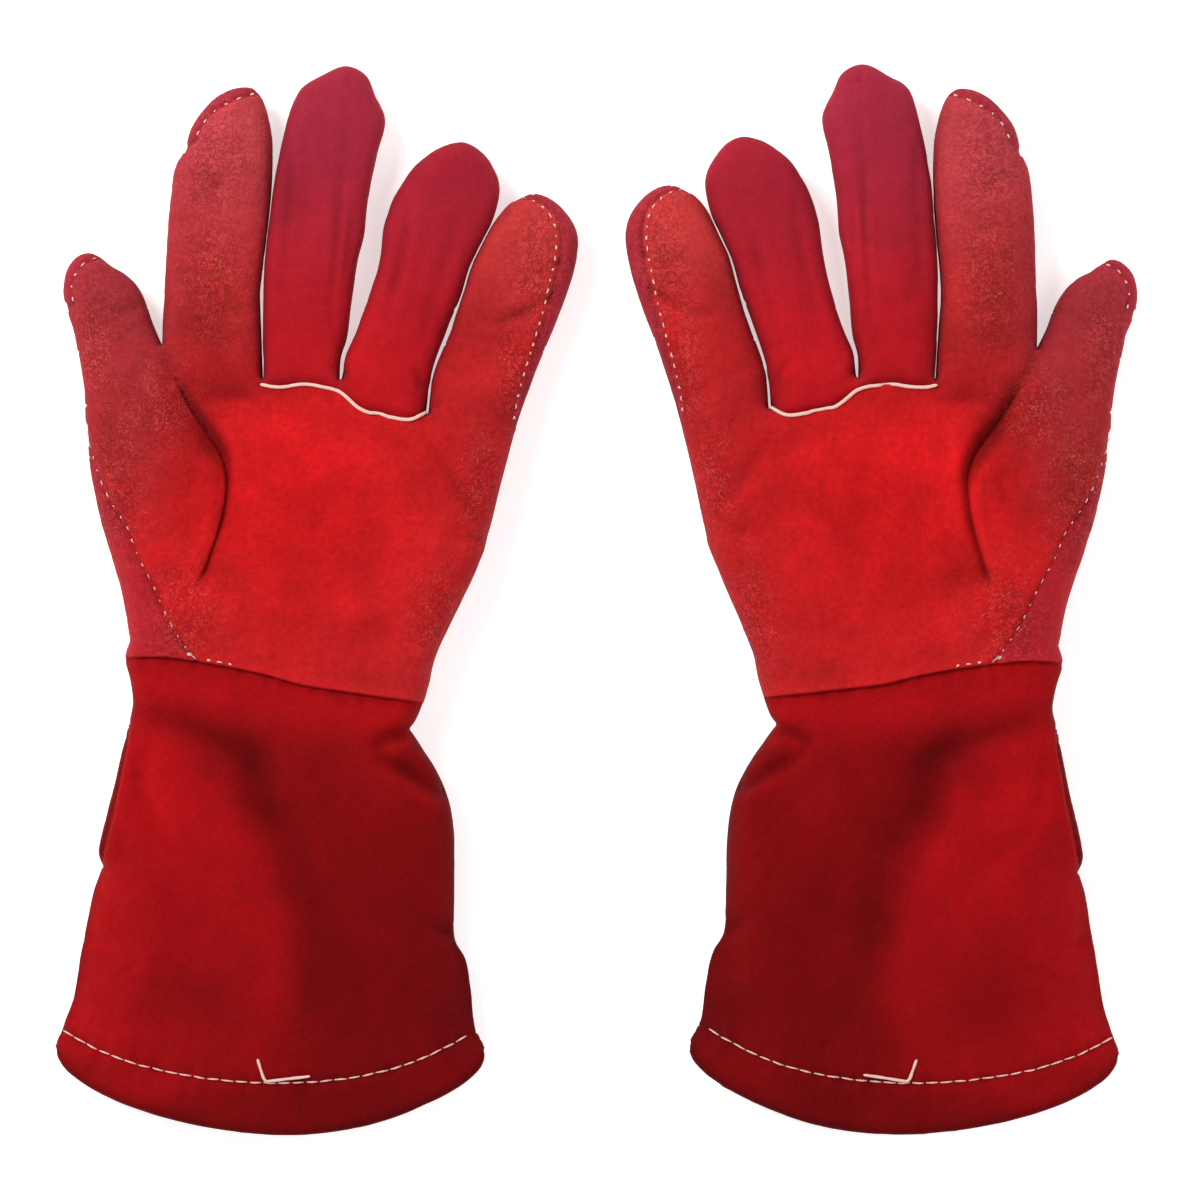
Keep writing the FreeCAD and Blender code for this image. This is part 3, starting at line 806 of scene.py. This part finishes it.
def build_skin(seed):
    """The whole leather skin of one glove, front and back joined along the outline."""
    outline = make_outline(STEP)
    loop, outward, at_hem = outline
    front_cuts = {**FRONT_CUTS, **STRIP_SEAMS}
    xy, tris, labels, rim, membrane = fill_outline(outline, front_cuts, STEP, face=0)
    back = fill_outline(outline, BACK_CUTS, BACK_STEP, face=1)
    back_xy, back_tris, back_labels, back_rim, back_membrane = back
    centre = xy[tris].mean(1)
    names = [
        REGIONS[k][0] if k >= 0 else strip_owner(*centre[t]) for t, k in enumerate(labels)
    ]
    names += [REGIONS[k][1] for k in back_labels]
    in_band = np.concatenate([labels, back_labels]) == len(REGIONS) - 1
    top = heights(xy, membrane)[0]
    low = heights(back_xy, back_membrane)[1]

    joined = np.arange(len(back_xy)) + len(xy)
    joined[back_rim[~at_hem]] = rim[~at_hem]
    flat = np.vstack([xy, back_xy])
    points = np.column_stack([flat, np.concatenate([top, low])])
    tris = np.vstack([tris, joined[back_tris][:, ::-1]])
    is_front = np.arange(len(flat)) < len(xy)

    border = tree_of(loop)
    rim_gap = np.array([border.find((p[0], p[1], 0.0))[2] for p in flat])
    rough = rough_zones(flat)
    lift = skin_relief(flat, is_front, rim[~at_hem], rim_gap, rough, seed)
    points += vertex_normals(points, tris) * lift[:, None]
    step = lapped_seam(xy, FLAP_LINE, high=2.2, low=2.4, reach=4.0)
    points[: len(xy), 2] += step * ease(0.2, 2.2, rim_gap[: len(xy)])
    points[:, 2] = np.maximum(points[:, 2], 0.0)

    normals = vertex_normals(points, tris)
    hem_gap = beside(flat, OUTLINE["hem"], 1.5)[0]
    fold = ease(HEM_BAND + 1.2, HEM_BAND - 0.6, hem_gap)
    thick = LEATHER + (HEM_THICKNESS - LEATHER) * fold
    mouth = mouth_directions(outward, at_hem, (rim, joined[back_rim]))
    return {
        "points": points, "normals": normals, "tris": tris, "names": np.array(names),
        "flat": flat, "front": is_front, "thick": thick, "mouth": mouth, "rough": rough,
        "hollow": np.clip(-lift / 3.0, 0.0, 1.0), "rim_gap": rim_gap, "in_band": in_band,
    }


def toned(xy, colour):
    """The colour with the painted shade and painted light of the glove's folds and hollows, and its
    uneven dye.
    """
    shade_and_light = np.ones(len(xy))
    for *place, change in SHADE_AND_LIGHT_SPOTS:
        shade_and_light += change * bump_at(xy, *place)
    return colour * shade_and_light[:, None]


def paint(name, xy):
    """The colour of the leather at each point of a piece, with the painted light and shade of the cuff,
    before the spots of painted shade and light.
    """
    x, y = xy[:, 0], xy[:, 1]

    def mix(pair, t):
        return np.outer(1.0 - t, pair[0]) + np.outer(t, pair[1])

    if name.startswith("cuff"):
        dist, along, side, length = beside(xy, CUFF_SHADE, 2.0)
        # painted light left of CUFF_SHADE and in a band below the wrist seam, painted shade on the rest
        # of the cuff
        light = ease(-9.0, 12.0, -dist * side) * ease(-150.0, -110.0, y)
        light = np.maximum(light, 0.8 * fading(y - 2.0, 17.0))
        colour = mix(PAINT["cuff"], np.clip(0.12 + light, 0.0, 1.0))
        if "back" in name:
            # the back of the cuff a little darker overall, with painted shade in the groove along the
            # fold line
            dist = beside(xy, FLAP_LINE, 2.0)[0]
            colour *= (0.86 - 0.26 * fading(dist, 5.0))[:, None]
        return colour
    if name.startswith("middle"):
        return mix(PAINT["middle"], ease(100.0, 195.0, y))
    if name.startswith("ring"):
        return mix(PAINT["ring"], ease(95.0, 172.0, y))
    far = np.clip(np.hypot((x - 2.0) / 62.0, (y - 58.0) / 62.0) - 0.25, 0.0, 1.0)
    colour = mix(PAINT["palm"], far)
    for digit, weight, run in (
        ("index", ease(92.0, 125.0, y) * ease(-4.0, -14.0, x), ease(120.0, 190.0, y)),
        ("little", ease(78.0, 118.0, y) * ease(40.0, 52.0, x), ease(110.0, 160.0, y)),
        ("thumb", ease(-30.0, -52.0, x) * ease(30.0, 85.0, y), ease(70.0, 135.0, y)),
    ):
        colour = colour * (1.0 - weight)[:, None] + mix(PAINT[digit], run) * weight[:, None]
    if "back" in name:
        strip = mix(PAINT["strip"], ease(25.0, 110.0, y))
        colour = 0.15 * colour + 0.85 * strip
    return colour


def turned(side, vectors):
    """Directions of a glove's frame as directions of the shared frame."""
    turn, sign = PLACES[side][2:]
    c, s = math.cos(math.radians(turn)), math.sin(math.radians(turn))
    x, y = sign * vectors[:, 0], vectors[:, 1]
    return np.column_stack([c * x - s * y, s * x + c * y, vectors[:, 2]])


def to_table(side, points):
    """Points of a glove's frame, in mm, as points of the shared frame, in metres."""
    x0, y0 = PLACES[side][:2]
    return (turned(side, np.atleast_2d(np.asarray(points, float))) + [x0, y0, 0.0]) / 1000.0


def new_object(name, data):
    """An object of the scene with this mesh, light or camera."""
    obj = bpy.data.objects.new(name, data)
    bpy.context.scene.collection.objects.link(obj)
    return obj


def add_mesh(side, name, points, faces, slot, normals=None, fields=None):
    """A mesh of the shared frame from points and faces of a glove's frame."""
    sign = PLACES[side][3]
    if sign < 0:
        faces = [f[::-1] for f in faces]
        normals = None if normals is None else [n[::-1] for n in normals]
    mesh = bpy.data.meshes.new(name)
    mesh.from_pydata(to_table(side, points).tolist(), [], faces)
    mesh.polygons.foreach_set("use_smooth", [True] * len(faces))
    # where each point lies at rest: the noise goes by it, in another place for the right glove
    rest = mesh.attributes.new("rest", "FLOAT_VECTOR", "POINT")
    offset = np.array([0.0 if side == "left" else 400.0, 0.0, 0.0])
    rest.data.foreach_set("vector", (np.asarray(points) + offset).astype(np.float32).ravel())
    for key, values in (fields or {}).items():
        if values.ndim == 2:
            made = mesh.attributes.new(key, "FLOAT_COLOR", "POINT")
            rgba = np.column_stack([values, np.ones(len(values))])
            made.data.foreach_set("color", rgba.astype(np.float32).ravel())
        else:
            made = mesh.attributes.new(key, "FLOAT", "POINT")
            made.data.foreach_set("value", values.astype(np.float32))
    mesh.materials.append(MATERIALS[slot])
    if normals is not None:
        flat = turned(side, np.array([v for n in normals for v in n]))
        mesh.normals_split_custom_set(flat.tolist())
    mesh.update()
    obj = new_object(f"{side}_{name}", mesh)
    return obj


def shell(skin, chosen, outer, inner, rounded):
    """A closed piece between two offsets of the skin: points, faces, normals and source points."""
    tris = skin["tris"][chosen]
    used, local = np.unique(tris, return_inverse=True)
    local = local.reshape(-1, 3)
    count = len(used)
    normals = skin["normals"][used]
    top = skin["points"][used] - normals * outer[used][:, None]
    low = skin["points"][used] - normals * inner[used][:, None]
    faces = [tuple(t) for t in local.tolist()]
    inside_faces = [(t[2] + count, t[1] + count, t[0] + count) for t in faces]
    directed = set()
    for a, b, c in faces:
        directed.update(((a, b), (b, c), (c, a)))
    rims = [e for e in directed if (e[1], e[0]) not in directed]
    up = normals.tolist()
    loops = [[up[i] for i in f] for f in faces]
    loops += [[[-v for v in up[i - count]] for i in f] for f in inside_faces]
    points = [top, low]
    faces = faces + inside_faces
    middles = {}
    extra = []
    for a, b in sorted(rims):
        ends = (int(used[a]), int(used[b]))
        # a rounded edge has one more row of points, between the two sides and a little out
        if rounded and all(e in skin["mouth"] for e in ends):
            for i, e in zip((a, b), ends):
                if i not in middles:
                    middles[i] = 2 * count + len(extra)
                    reach = 0.42 * (inner[used[i]] - outer[used[i]])
                    extra.append(0.5 * (top[i] + low[i]) + reach * skin["mouth"][e])
            m, n = middles[a], middles[b]
            out = [skin["mouth"][e].tolist() for e in ends]
            under = [[-v for v in up[i]] for i in (a, b)]
            faces.append((b, a, m, n))
            loops.append([up[b], up[a], out[0], out[1]])
            faces.append((n, m, a + count, b + count))
            loops.append([out[1], out[0], under[0], under[1]])
        else:
            side = np.cross(top[b] - top[a], low[a] - top[a])
            side = (-side / max(np.linalg.norm(side), 1e-9)).tolist()
            faces.append((b, a, a + count, b + count))
            loops.append([side] * 4)
    if extra:
        points.append(np.array(extra))
    sources = np.concatenate([used, used, used[list(middles)]]) if extra else np.tile(used, 2)
    return np.vstack(points), faces, loops, sources


def fold_zones(side):
    """The folds of a glove: body before, body after, and where the bend starts and ends."""
    def placed(x, y):
        return to_table(side, [(x, y, 0.0)])[0].tolist()

    zones = {}
    for digit, x, knuckle, middle in (
        ("index", -28.0, (108.8, 128.0), (141.0, 159.0)),
        ("middle", 3.0, (100.6, 120.0), (141.0, 159.0)),
        ("ring", 32.0, (100.6, 120.0), (130.0, 148.0)),
        ("little", 63.0, (90.2, 110.0), (118.0, 136.0)),
    ):
        base, tip = f"{digit}_base", f"{digit}_tip"
        zones[f"{digit}_lower"] = ("hand", base, placed(x, knuckle[0]), placed(x, knuckle[1]))
        zones[f"{digit}_upper"] = (base, tip, placed(x, middle[0]), placed(x, middle[1]))
    for part, a, b, start, way, reach in (
        ("lower", "hand", "thumb_base", (-43.8, 108.7), 40.0, 13.0),
        ("upper", "thumb_base", "thumb_tip", (-49.4, 120.8), 22.0, 10.0),
    ):
        t = math.radians(way)
        end = (start[0] - reach * math.sin(t), start[1] + reach * math.cos(t))
        zones[f"thumb_{part}"] = (a, b, placed(*start), placed(*end))
    zones["wrist"] = ("hand", "cuff", placed(0.0, 8.0), placed(0.0, -14.0))
    return zones


def fasten(obj, side, zone):
    """Bakes a piece's place into its mesh; the fold of its zone is looked up but not used."""
    before, after, start, end = fold_zones(side)[zone]
    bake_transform(obj)
    return obj


def zone_of(name):
    """The name of the fold zone that goes with a piece of leather."""
    digit = name.split("_")[0]
    if digit in ("thumb", "index", "middle", "ring", "little"):
        return f"{digit}_{name.split('_')[-1]}"
    return "wrist"


def drop(surface, x, y):
    """The height and the direction of the front at a point."""
    place, normal, index, dist = surface.ray_cast(Vector((x, y, 80.0)), Vector((0.0, 0.0, -1.0)))
    if place is None:
        place, normal, index, dist = surface.find_nearest(Vector((x, y, 14.0)))
    return place.z, np.array(normal)


def lay_on(surface, line):
    """A flat line laid on the front of the glove, with the surface direction at each point."""
    placed, ups = [], []
    for x, y in line:
        z, up = drop(surface, x, y)
        around = [drop(surface, x + i, y + j)[0] for i, j in ((0.5, 0), (-0.5, 0), (0, 0.5), (0, -0.5))]
        placed.append((x, y, max([z] + [a for a in around if a - z < 2.5])))
        ups.append(up)
    return np.array(placed), np.array(ups)


def tube_faces(first, rings, sides):
    """Faces round the rings of a closed tube whose points start at a number."""
    faces = []
    for i in range(rings - 1):
        for j in range(sides):
            a, b = first + i * sides + j, first + i * sides + (j + 1) % sides
            faces.append((a, b, b + sides, a + sides))
    faces.append(tuple(first + j for j in range(sides))[::-1])
    faces.append(tuple(first + (rings - 1) * sides + j for j in range(sides)))
    return faces


def stitch_row(surface, line, pitch, length, width, uneven):
    """A row of thread stitches, each one a short twisted strand that dives in at both ends."""
    line = smooth_line(line, 0.4)
    run = np.linspace(0.0, np.linalg.norm(np.diff(line, axis=0), axis=1).sum(), len(line))
    points, faces = [], []
    sides, rings = 10, 11
    for k, start in enumerate(np.arange(0.5 * pitch, run[-1] - 0.2 * pitch, pitch)):
        sway = 0.12 * math.sin(2.4 * k)
        thick = width * (1.0 + 0.6 * uneven * math.sin(2.9 * k + 1.0))
        reach = length * (1.0 + uneven * math.sin(1.7 * k))
        at = start + np.array([-0.5, -0.25, 0.0, 0.25, 0.5]) * reach
        at = np.clip(at, 0.0, run[-1])
        path = np.column_stack([np.interp(at, run, line[:, i]) for i in range(2)])
        laid, ups = lay_on(surface, path)
        up = ups.mean(0) / np.linalg.norm(ups.mean(0))
        along = laid[-1] - laid[0]
        along /= np.linalg.norm(along)
        across = np.cross(up, along)
        first = len(points)
        for i, s in enumerate(np.linspace(-1.0, 1.0, rings)):
            middle = np.array([np.interp(s, np.linspace(-1, 1, 5), laid[:, j]) for j in range(3)])
            radius = 0.5 * thick * max(0.10, 1.0 - abs(s) ** 5) ** 0.5
            middle = middle + up * (0.30 * thick - 0.75 * thick * abs(s) ** 3) + across * sway * s
            for j in range(sides):
                a = 2.0 * math.pi * j / sides
                ply = 1.0 + 0.14 * math.cos(2.0 * a - 2.6 * s * length / 2.0)
                points.append(middle + radius * ply * (math.cos(a) * across + math.sin(a) * up))
        faces += tube_faces(first, rings, sides)
    return np.array(points), faces


def strand(surface, line, width, height, sink, twist):
    """A cord laid along a line on the front: an oval section swept along it, with rounded ends."""
    line = smooth_line(line, 0.5)
    laid, ups = lay_on(surface, line)
    soft = np.ones(7) / 7.0
    laid[:, 2] = np.convolve(np.pad(laid[:, 2], 3, mode="edge"), soft, mode="valid")
    for axis in range(3):
        ups[:, axis] = np.convolve(np.pad(ups[:, axis], 3, mode="edge"), soft, mode="valid")
    way = np.gradient(laid, axis=0)
    way /= np.linalg.norm(way, axis=1)[:, None]
    points = []
    sides = 12
    last = len(laid) - 1
    for i, (p, t, up) in enumerate(zip(laid, way, ups)):
        across = np.cross(up, t)
        across /= np.linalg.norm(across)
        over = np.cross(t, across)
        tip = min(i, last - i)
        size = min(1.0, math.sqrt(max(0.04, 1.0 - (1.0 - min(tip, 2) / 2.0) ** 2)))
        for j in range(sides):
            a = 2.0 * math.pi * j / sides
            ply = 1.0 + 0.10 * math.cos(2.0 * a - twist * i)
            flat = 0.5 * width * size * ply * math.cos(a)
            rise = 0.5 * height * size * ply * math.sin(a) + 0.5 * height - sink
            points.append(p + flat * across + rise * over)
    return np.array(points), tube_faces(0, len(laid), sides)


def node(tree, kind, **settings):
    """A new node of a material, with some of its settings."""
    made = tree.nodes.new(kind)
    for key, value in settings.items():
        setattr(made, key, value)
    return made


def new_material(name):
    material = bpy.data.materials.new(name)
    material.use_nodes = True
    return material, material.node_tree, material.node_tree.nodes["Principled BSDF"]


def set_inputs(made, values):
    for key, value in values.items():
        made.inputs[key].default_value = value


def noise_of(tree, rest, scale, detail):
    """Noise that is fixed to the piece and moves with it."""
    made = node(tree, "ShaderNodeTexNoise")
    set_inputs(made, {"Scale": scale, "Detail": detail, "Roughness": 0.6})
    tree.links.new(rest, made.inputs["Vector"])
    return made.outputs["Fac"]


def spread(tree, value, low, high, to_low, to_high):
    """The value with the range from low to high stretched to another range."""
    made = node(tree, "ShaderNodeMapRange")
    set_inputs(made, {"From Min": low, "From Max": high, "To Min": to_low, "To Max": to_high})
    tree.links.new(value, made.inputs["Value"])
    return made.outputs["Result"]


def maths(tree, operation, a, b):
    """The result of two values, each a number or an output."""
    made = node(tree, "ShaderNodeMath", operation=operation)
    for socket, value in zip(made.inputs, (a, b)):
        if isinstance(value, (int, float)):
            socket.default_value = value
        else:
            tree.links.new(value, socket)
    return made.outputs[0]


def field(tree, name, output):
    """A value that each point of the mesh carries."""
    return node(tree, "ShaderNodeAttribute", attribute_name=name).outputs[output]


def scaled(tree, vector, by):
    """A vector or a colour times a value."""
    made = node(tree, "ShaderNodeVectorMath", operation="SCALE")
    tree.links.new(vector, made.inputs[0])
    tree.links.new(by, made.inputs["Scale"])
    return made.outputs[0]


def roughen(tree, shader, height, strength, distance):
    """Small unevenness of the surface."""
    bump = node(tree, "ShaderNodeBump")
    set_inputs(bump, {"Strength": strength, "Distance": distance})
    tree.links.new(height, bump.inputs["Height"])
    tree.links.new(bump.outputs["Normal"], shader.inputs["Normal"])


def leather(name, mottle, flecks, grain, roughness, sheen):
    """Suede: the colour painted on the piece, its painted shade and light included, mottled by its nap,
    with pale flecks where it is rubbed.
    """
    material, tree, shader = new_material(name)
    rest = field(tree, "rest", "Vector")
    nap = field(tree, "nap", "Fac")

    def times(a, b):
        return maths(tree, "MULTIPLY", a, b)

    cloudy = spread(tree, noise_of(tree, rest, 0.045, 3.0), 0.3, 0.7, 1.0 - mottle, 1.0 + mottle)
    small = spread(tree, noise_of(tree, rest, 0.55, 4.0), 0.3, 0.7, 1.0 - mottle, 1.0 + mottle)
    mottled = scaled(tree, field(tree, "paint", "Color"), times(cloudy, small))

    wrinkles = noise_of(tree, rest, 0.42, 3.0)
    apart = maths(tree, "ABSOLUTE", maths(tree, "SUBTRACT", wrinkles, 0.5), 0.0)
    open_skin = spread(tree, apart, 0.0, 0.055, 0.0, 1.0)

    slanted = node(tree, "ShaderNodeMapping", vector_type="TEXTURE")
    set_inputs(slanted, {"Rotation": (0.0, 0.0, 0.5), "Scale": (0.75, 1.9, 1.0)})
    tree.links.new(rest, slanted.inputs["Vector"])
    specks = noise_of(tree, slanted.outputs["Vector"], 2.6, 4.0)
    patches = noise_of(tree, rest, 0.16, 3.0)
    speckled = spread(tree, specks, 0.52, 0.66, 0.0, 1.0)
    patchy = spread(tree, patches, 0.40, 0.62, 0.2, 1.0)
    amount = times(times(speckled, patchy), maths(tree, "ADD", open_skin, 0.25))
    amount = times(amount, times(nap, flecks))
    # of a mix of colours, inputs 0, 6 and 7 are the share and the two colours
    blend = node(tree, "ShaderNodeMix", data_type="RGBA", blend_type="MIX")
    tree.links.new(amount, blend.inputs[0])
    tree.links.new(mottled, blend.inputs[6])
    blend.inputs[7].default_value = FLECK_COLOUR

    lines = times(spread(tree, apart, 0.0, 0.04, 0.24, 0.0), nap)
    creased = scaled(tree, blend.outputs[2], maths(tree, "SUBTRACT", 1.0, lines))
    tree.links.new(creased, shader.inputs["Base Color"])

    fuzz = noise_of(tree, rest, 1.7, 5.0)
    ripples = noise_of(tree, rest, 0.35, 3.0)
    height = maths(tree, "ADD", fuzz, times(ripples, 1.6))
    height = maths(tree, "ADD", height, times(open_skin, times(nap, 0.9)))
    roughen(tree, shader, height, grain, 0.0004)
    set_inputs(shader, {"Roughness": roughness, "Specular IOR Level": 0.07})
    set_inputs(
        shader, {"Sheen Weight": sheen, "Sheen Roughness": 0.45, "Sheen Tint": SHEEN_COLOUR}
    )
    return material


def fibre(name, colour, scale, contrast, roughness):
    """Thread or lining cloth: one colour, with the light and dark of its fibres."""
    material, tree, shader = new_material(name)
    fibres = noise_of(tree, field(tree, "rest", "Vector"), scale, 4.0)
    shade = spread(tree, fibres, 0.3, 0.7, 1.0 - contrast, 1.0 + contrast)
    toned = node(tree, "ShaderNodeVectorMath", operation="SCALE")
    toned.inputs[0].default_value = colour
    tree.links.new(shade, toned.inputs["Scale"])
    tree.links.new(toned.outputs[0], shader.inputs["Base Color"])
    roughen(tree, shader, fibres, 0.4, 0.0003)
    set_inputs(shader, {"Roughness": roughness, "Specular IOR Level": 0.2})
    return material


MATERIALS = {
    "rough_leather": leather(
        "rough leather", mottle=0.14, flecks=0.62, grain=0.85, roughness=0.80, sheen=0.05
    ),
    "smooth_leather": leather(
        "smooth leather", mottle=0.08, flecks=0.10, grain=0.40, roughness=0.82, sheen=0.05
    ),
    "cuff_leather": leather(
        "cuff leather", mottle=0.10, flecks=0.08, grain=0.50, roughness=0.90, sheen=0.02
    ),
    "lining": fibre("lining", LINING_COLOUR, scale=1.3, contrast=0.15, roughness=0.95),
    "thread": fibre("thread", THREAD_COLOUR, scale=3.0, contrast=0.22, roughness=0.8),
}


def slot_of(name):
    """Which leather a piece is made of."""
    if name.startswith("cuff"):
        return "cuff_leather"
    return "smooth_leather" if name.startswith(("middle", "ring")) else "rough_leather"


def lighter(obj, share):
    """The same piece with a share of its triangles."""
    modifier = obj.modifiers.new("fewer", "DECIMATE")
    modifier.ratio = share
    bpy.context.view_layer.update()
    shown = obj.evaluated_get(bpy.context.evaluated_depsgraph_get())
    mesh = bpy.data.meshes.new_from_object(shown)
    obj.modifiers.remove(modifier)
    obj.data = mesh
    return obj


def add_leather(side, skin):
    """The leather pieces of a glove, with painted shade in their hollows and along the outline."""
    surface = np.zeros(len(skin["thick"]))
    for name in sorted(set(skin["names"])):
        chosen = skin["names"] == name
        points, faces, loops, sources = shell(skin, chosen, surface, skin["thick"], True)
        flat = skin["flat"][sources]
        colour = toned(flat, paint(name, flat))
        # painted shade in the creases, seams and other pressed-in places, deepest where the leather is
        # pressed in most
        colour *= (1.0 - 0.45 * skin["hollow"][sources])[:, None]
        # painted shade along the outline, tinted pink except on the cuff
        edge = np.exp(-skin["rim_gap"][sources] / 2.0)[:, None]
        rim_shade_tint = 0.0 if name.startswith("cuff") else 0.30
        colour = colour * (1.0 - 0.45 * edge) + rim_shade_tint * edge * np.array(PAINT["strip"][1])
        fields = {"paint": colour, "nap": skin["rough"][sources]}
        obj = add_mesh(side, f"{name}_leather", points, faces, slot_of(name), loops, fields)
        fasten(obj, side, zone_of(name))
        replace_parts(obj, f"{side}_{name}")


def add_linings(side, skin):
    """The cloth inside the cuff and inside the hand, a little in from the leather."""
    in_cuff = np.char.startswith(skin["names"], "cuff") & ~skin["in_band"]
    in_hand = np.isin(skin["names"], ["palm_panel", "hand_back_panel"])
    outer = np.full(len(skin["thick"]), LEATHER + LINING_GAP)
    for name, chosen, share in (("cuff_lining", in_cuff, 0.55), ("hand_lining", in_hand, 0.25)):
        points, faces, loops, sources = shell(skin, chosen, outer, outer + LINING, False)
        obj = add_mesh(side, f"{name}_cloth", points, faces, "lining")
        fasten(lighter(obj, share), side, "wrist")
        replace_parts(obj, f"{side}_{name}")


def add_threads(side, skin):
    """The stitches, the welt and the loose end of the hem thread, laid on the front."""
    front = skin["front"][skin["tris"]].all(1)
    surface = BVHTree.FromPolygons(skin["points"].tolist(), skin["tris"][front].tolist())
    hem = stitch_row(surface, HEM_STITCHES, HEM_PITCH, length=4.15, width=0.53, uneven=0.08)
    tail = strand(surface, TAIL, width=0.95, height=0.95, sink=0.10, twist=0.5)
    welt = strand(surface, WELT_LINE, width=1.05, height=1.1, sink=0.0, twist=0.0)
    for node_name, kind, (points, faces) in (
        ("hem_thread", "stitches", hem), ("thread_tail", "strand", tail),
        ("finger_base_welt", "cord", welt),
    ):
        obj = add_mesh(side, f"{node_name}_{kind}", points, faces, "thread")
        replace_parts(fasten(obj, side, "wrist"), f"{side}_{node_name}")

    inset = [(x - 1.6, y) for x, y in LITTLE_SEAM[::-1]]
    for name, line, zone, pitch, width in (
        ("thumb_side_stitches", THUMB_SIDE_SEAM, "wrist", 4.4, 0.36),
        ("wrist_stitches", [(-23.8, 4.7), (-19.0, 4.2), (-13.5, 3.4)], "wrist", 3.6, 0.5),
        ("little_lower_stitches", [p for p in inset if p[1] < 114.0], "little_lower", 3.7, 0.5),
        ("little_upper_stitches", [p for p in inset if p[1] > 113.0], "little_upper", 3.7, 0.5),
        ("index_tip_stitches", INDEX_TIP_SEAM[:-1], "index_upper", 4.6, 0.5),
        ("thumb_tip_stitches", THUMB_TIP_SEAM[:-1], "thumb_upper", 4.2, 0.5),
    ):
        points, faces = stitch_row(surface, line, pitch, length=1.25, width=width, uneven=0.40)
        fasten(add_mesh(side, name, points, faces, "thread"), side, zone)


# the seed sets the fine wrinkles of each glove
for glove_side, seed in (("left", 3.0), ("right", 11.0)):
    skin = build_skin(seed)
    add_leather(glove_side, skin)
    add_linings(glove_side, skin)
    add_threads(glove_side, skin)


# the table, the wall round it and the sky, in metres
WHITE = (1.0, 1.0, 1.0, 1.0)
STAGE_COLOUR = (0.93, 0.93, 0.93, 1.0)
TABLE_RADIUS = 3.9
TABLE_TOP = -2e-4
TABLE_GLOW = 0.54
WALL_HEIGHT = 1.3
WALL_GLOW = 0.90
SKY_GLOW = 0.34

# the middle of the camera's view and its width there, in metres
VIEW_CENTRE = (0.0012, -0.0010, 0.010)
VIEW_WIDTH = 0.4012
LENS = 200.0
SENSOR = 36.0


def add_light(name, place, size, power, colour):
    """A round soft light that points at the middle of the table."""
    light = bpy.data.lights.new(name, "AREA")
    light.shape = "DISK"
    light.size = size
    light.energy = power
    light.color = colour
    obj = new_object(name, light)
    obj.location = place
    obj.rotation_euler = (-Vector(place)).to_track_quat("-Z", "Y").to_euler()


def add_stage(name, points, faces, glow):
    """A pale matt surface that isn't part of the object and glows a little."""
    mesh = bpy.data.meshes.new(name)
    mesh.from_pydata(points, [], faces)
    material, tree, shader = new_material(name)
    set_inputs(shader, {"Base Color": STAGE_COLOUR, "Emission Color": WHITE})
    set_inputs(shader, {"Emission Strength": glow, "Roughness": 1.0, "Specular IOR Level": 0.0})
    mesh.materials.append(material)
    new_object(name, mesh)


def add_table():
    """A round white table, and a pale wall that stands along its edge."""
    sides = 96
    around = [2.0 * math.pi * i / sides for i in range(sides)]
    foot = [(TABLE_RADIUS * math.cos(a), TABLE_RADIUS * math.sin(a), TABLE_TOP) for a in around]
    head = [(x, y, WALL_HEIGHT) for x, y, z in foot]
    panels = [(i, (i + 1) % sides, (i + 1) % sides + sides, i + sides) for i in range(sides)]
    add_stage("table", foot, [tuple(range(sides))], TABLE_GLOW)
    add_stage("wall", foot + head, panels, WALL_GLOW)


def add_lighting():
    """Soft light from the upper left, weaker light from the right and an even sky."""
    world = bpy.data.worlds.new("studio")
    world.use_nodes = True
    set_inputs(world.node_tree.nodes["Background"], {"Color": WHITE, "Strength": SKY_GLOW})
    bpy.context.scene.world = world
    add_light("key", (-1.0, 0.8, 1.4), size=0.8, power=24.0, colour=(1.0, 0.98, 0.96))
    add_light("fill", (1.0, -0.5, 1.8), size=1.4, power=9.6, colour=(1.0, 1.0, 1.0))


def add_camera():
    """A camera far above the gloves that looks straight down."""
    camera = bpy.data.cameras.new("camera")
    camera.lens = LENS
    camera.sensor_width = SENSOR
    camera.clip_end = 20.0
    obj = new_object("camera", camera)
    x, y, z = VIEW_CENTRE
    obj.location = (x, y, z + VIEW_WIDTH / SENSOR * LENS)
    bpy.context.scene.camera = obj


add_table()
add_lighting()
add_camera()
bpy.context.scene.view_settings.view_transform = "Standard"
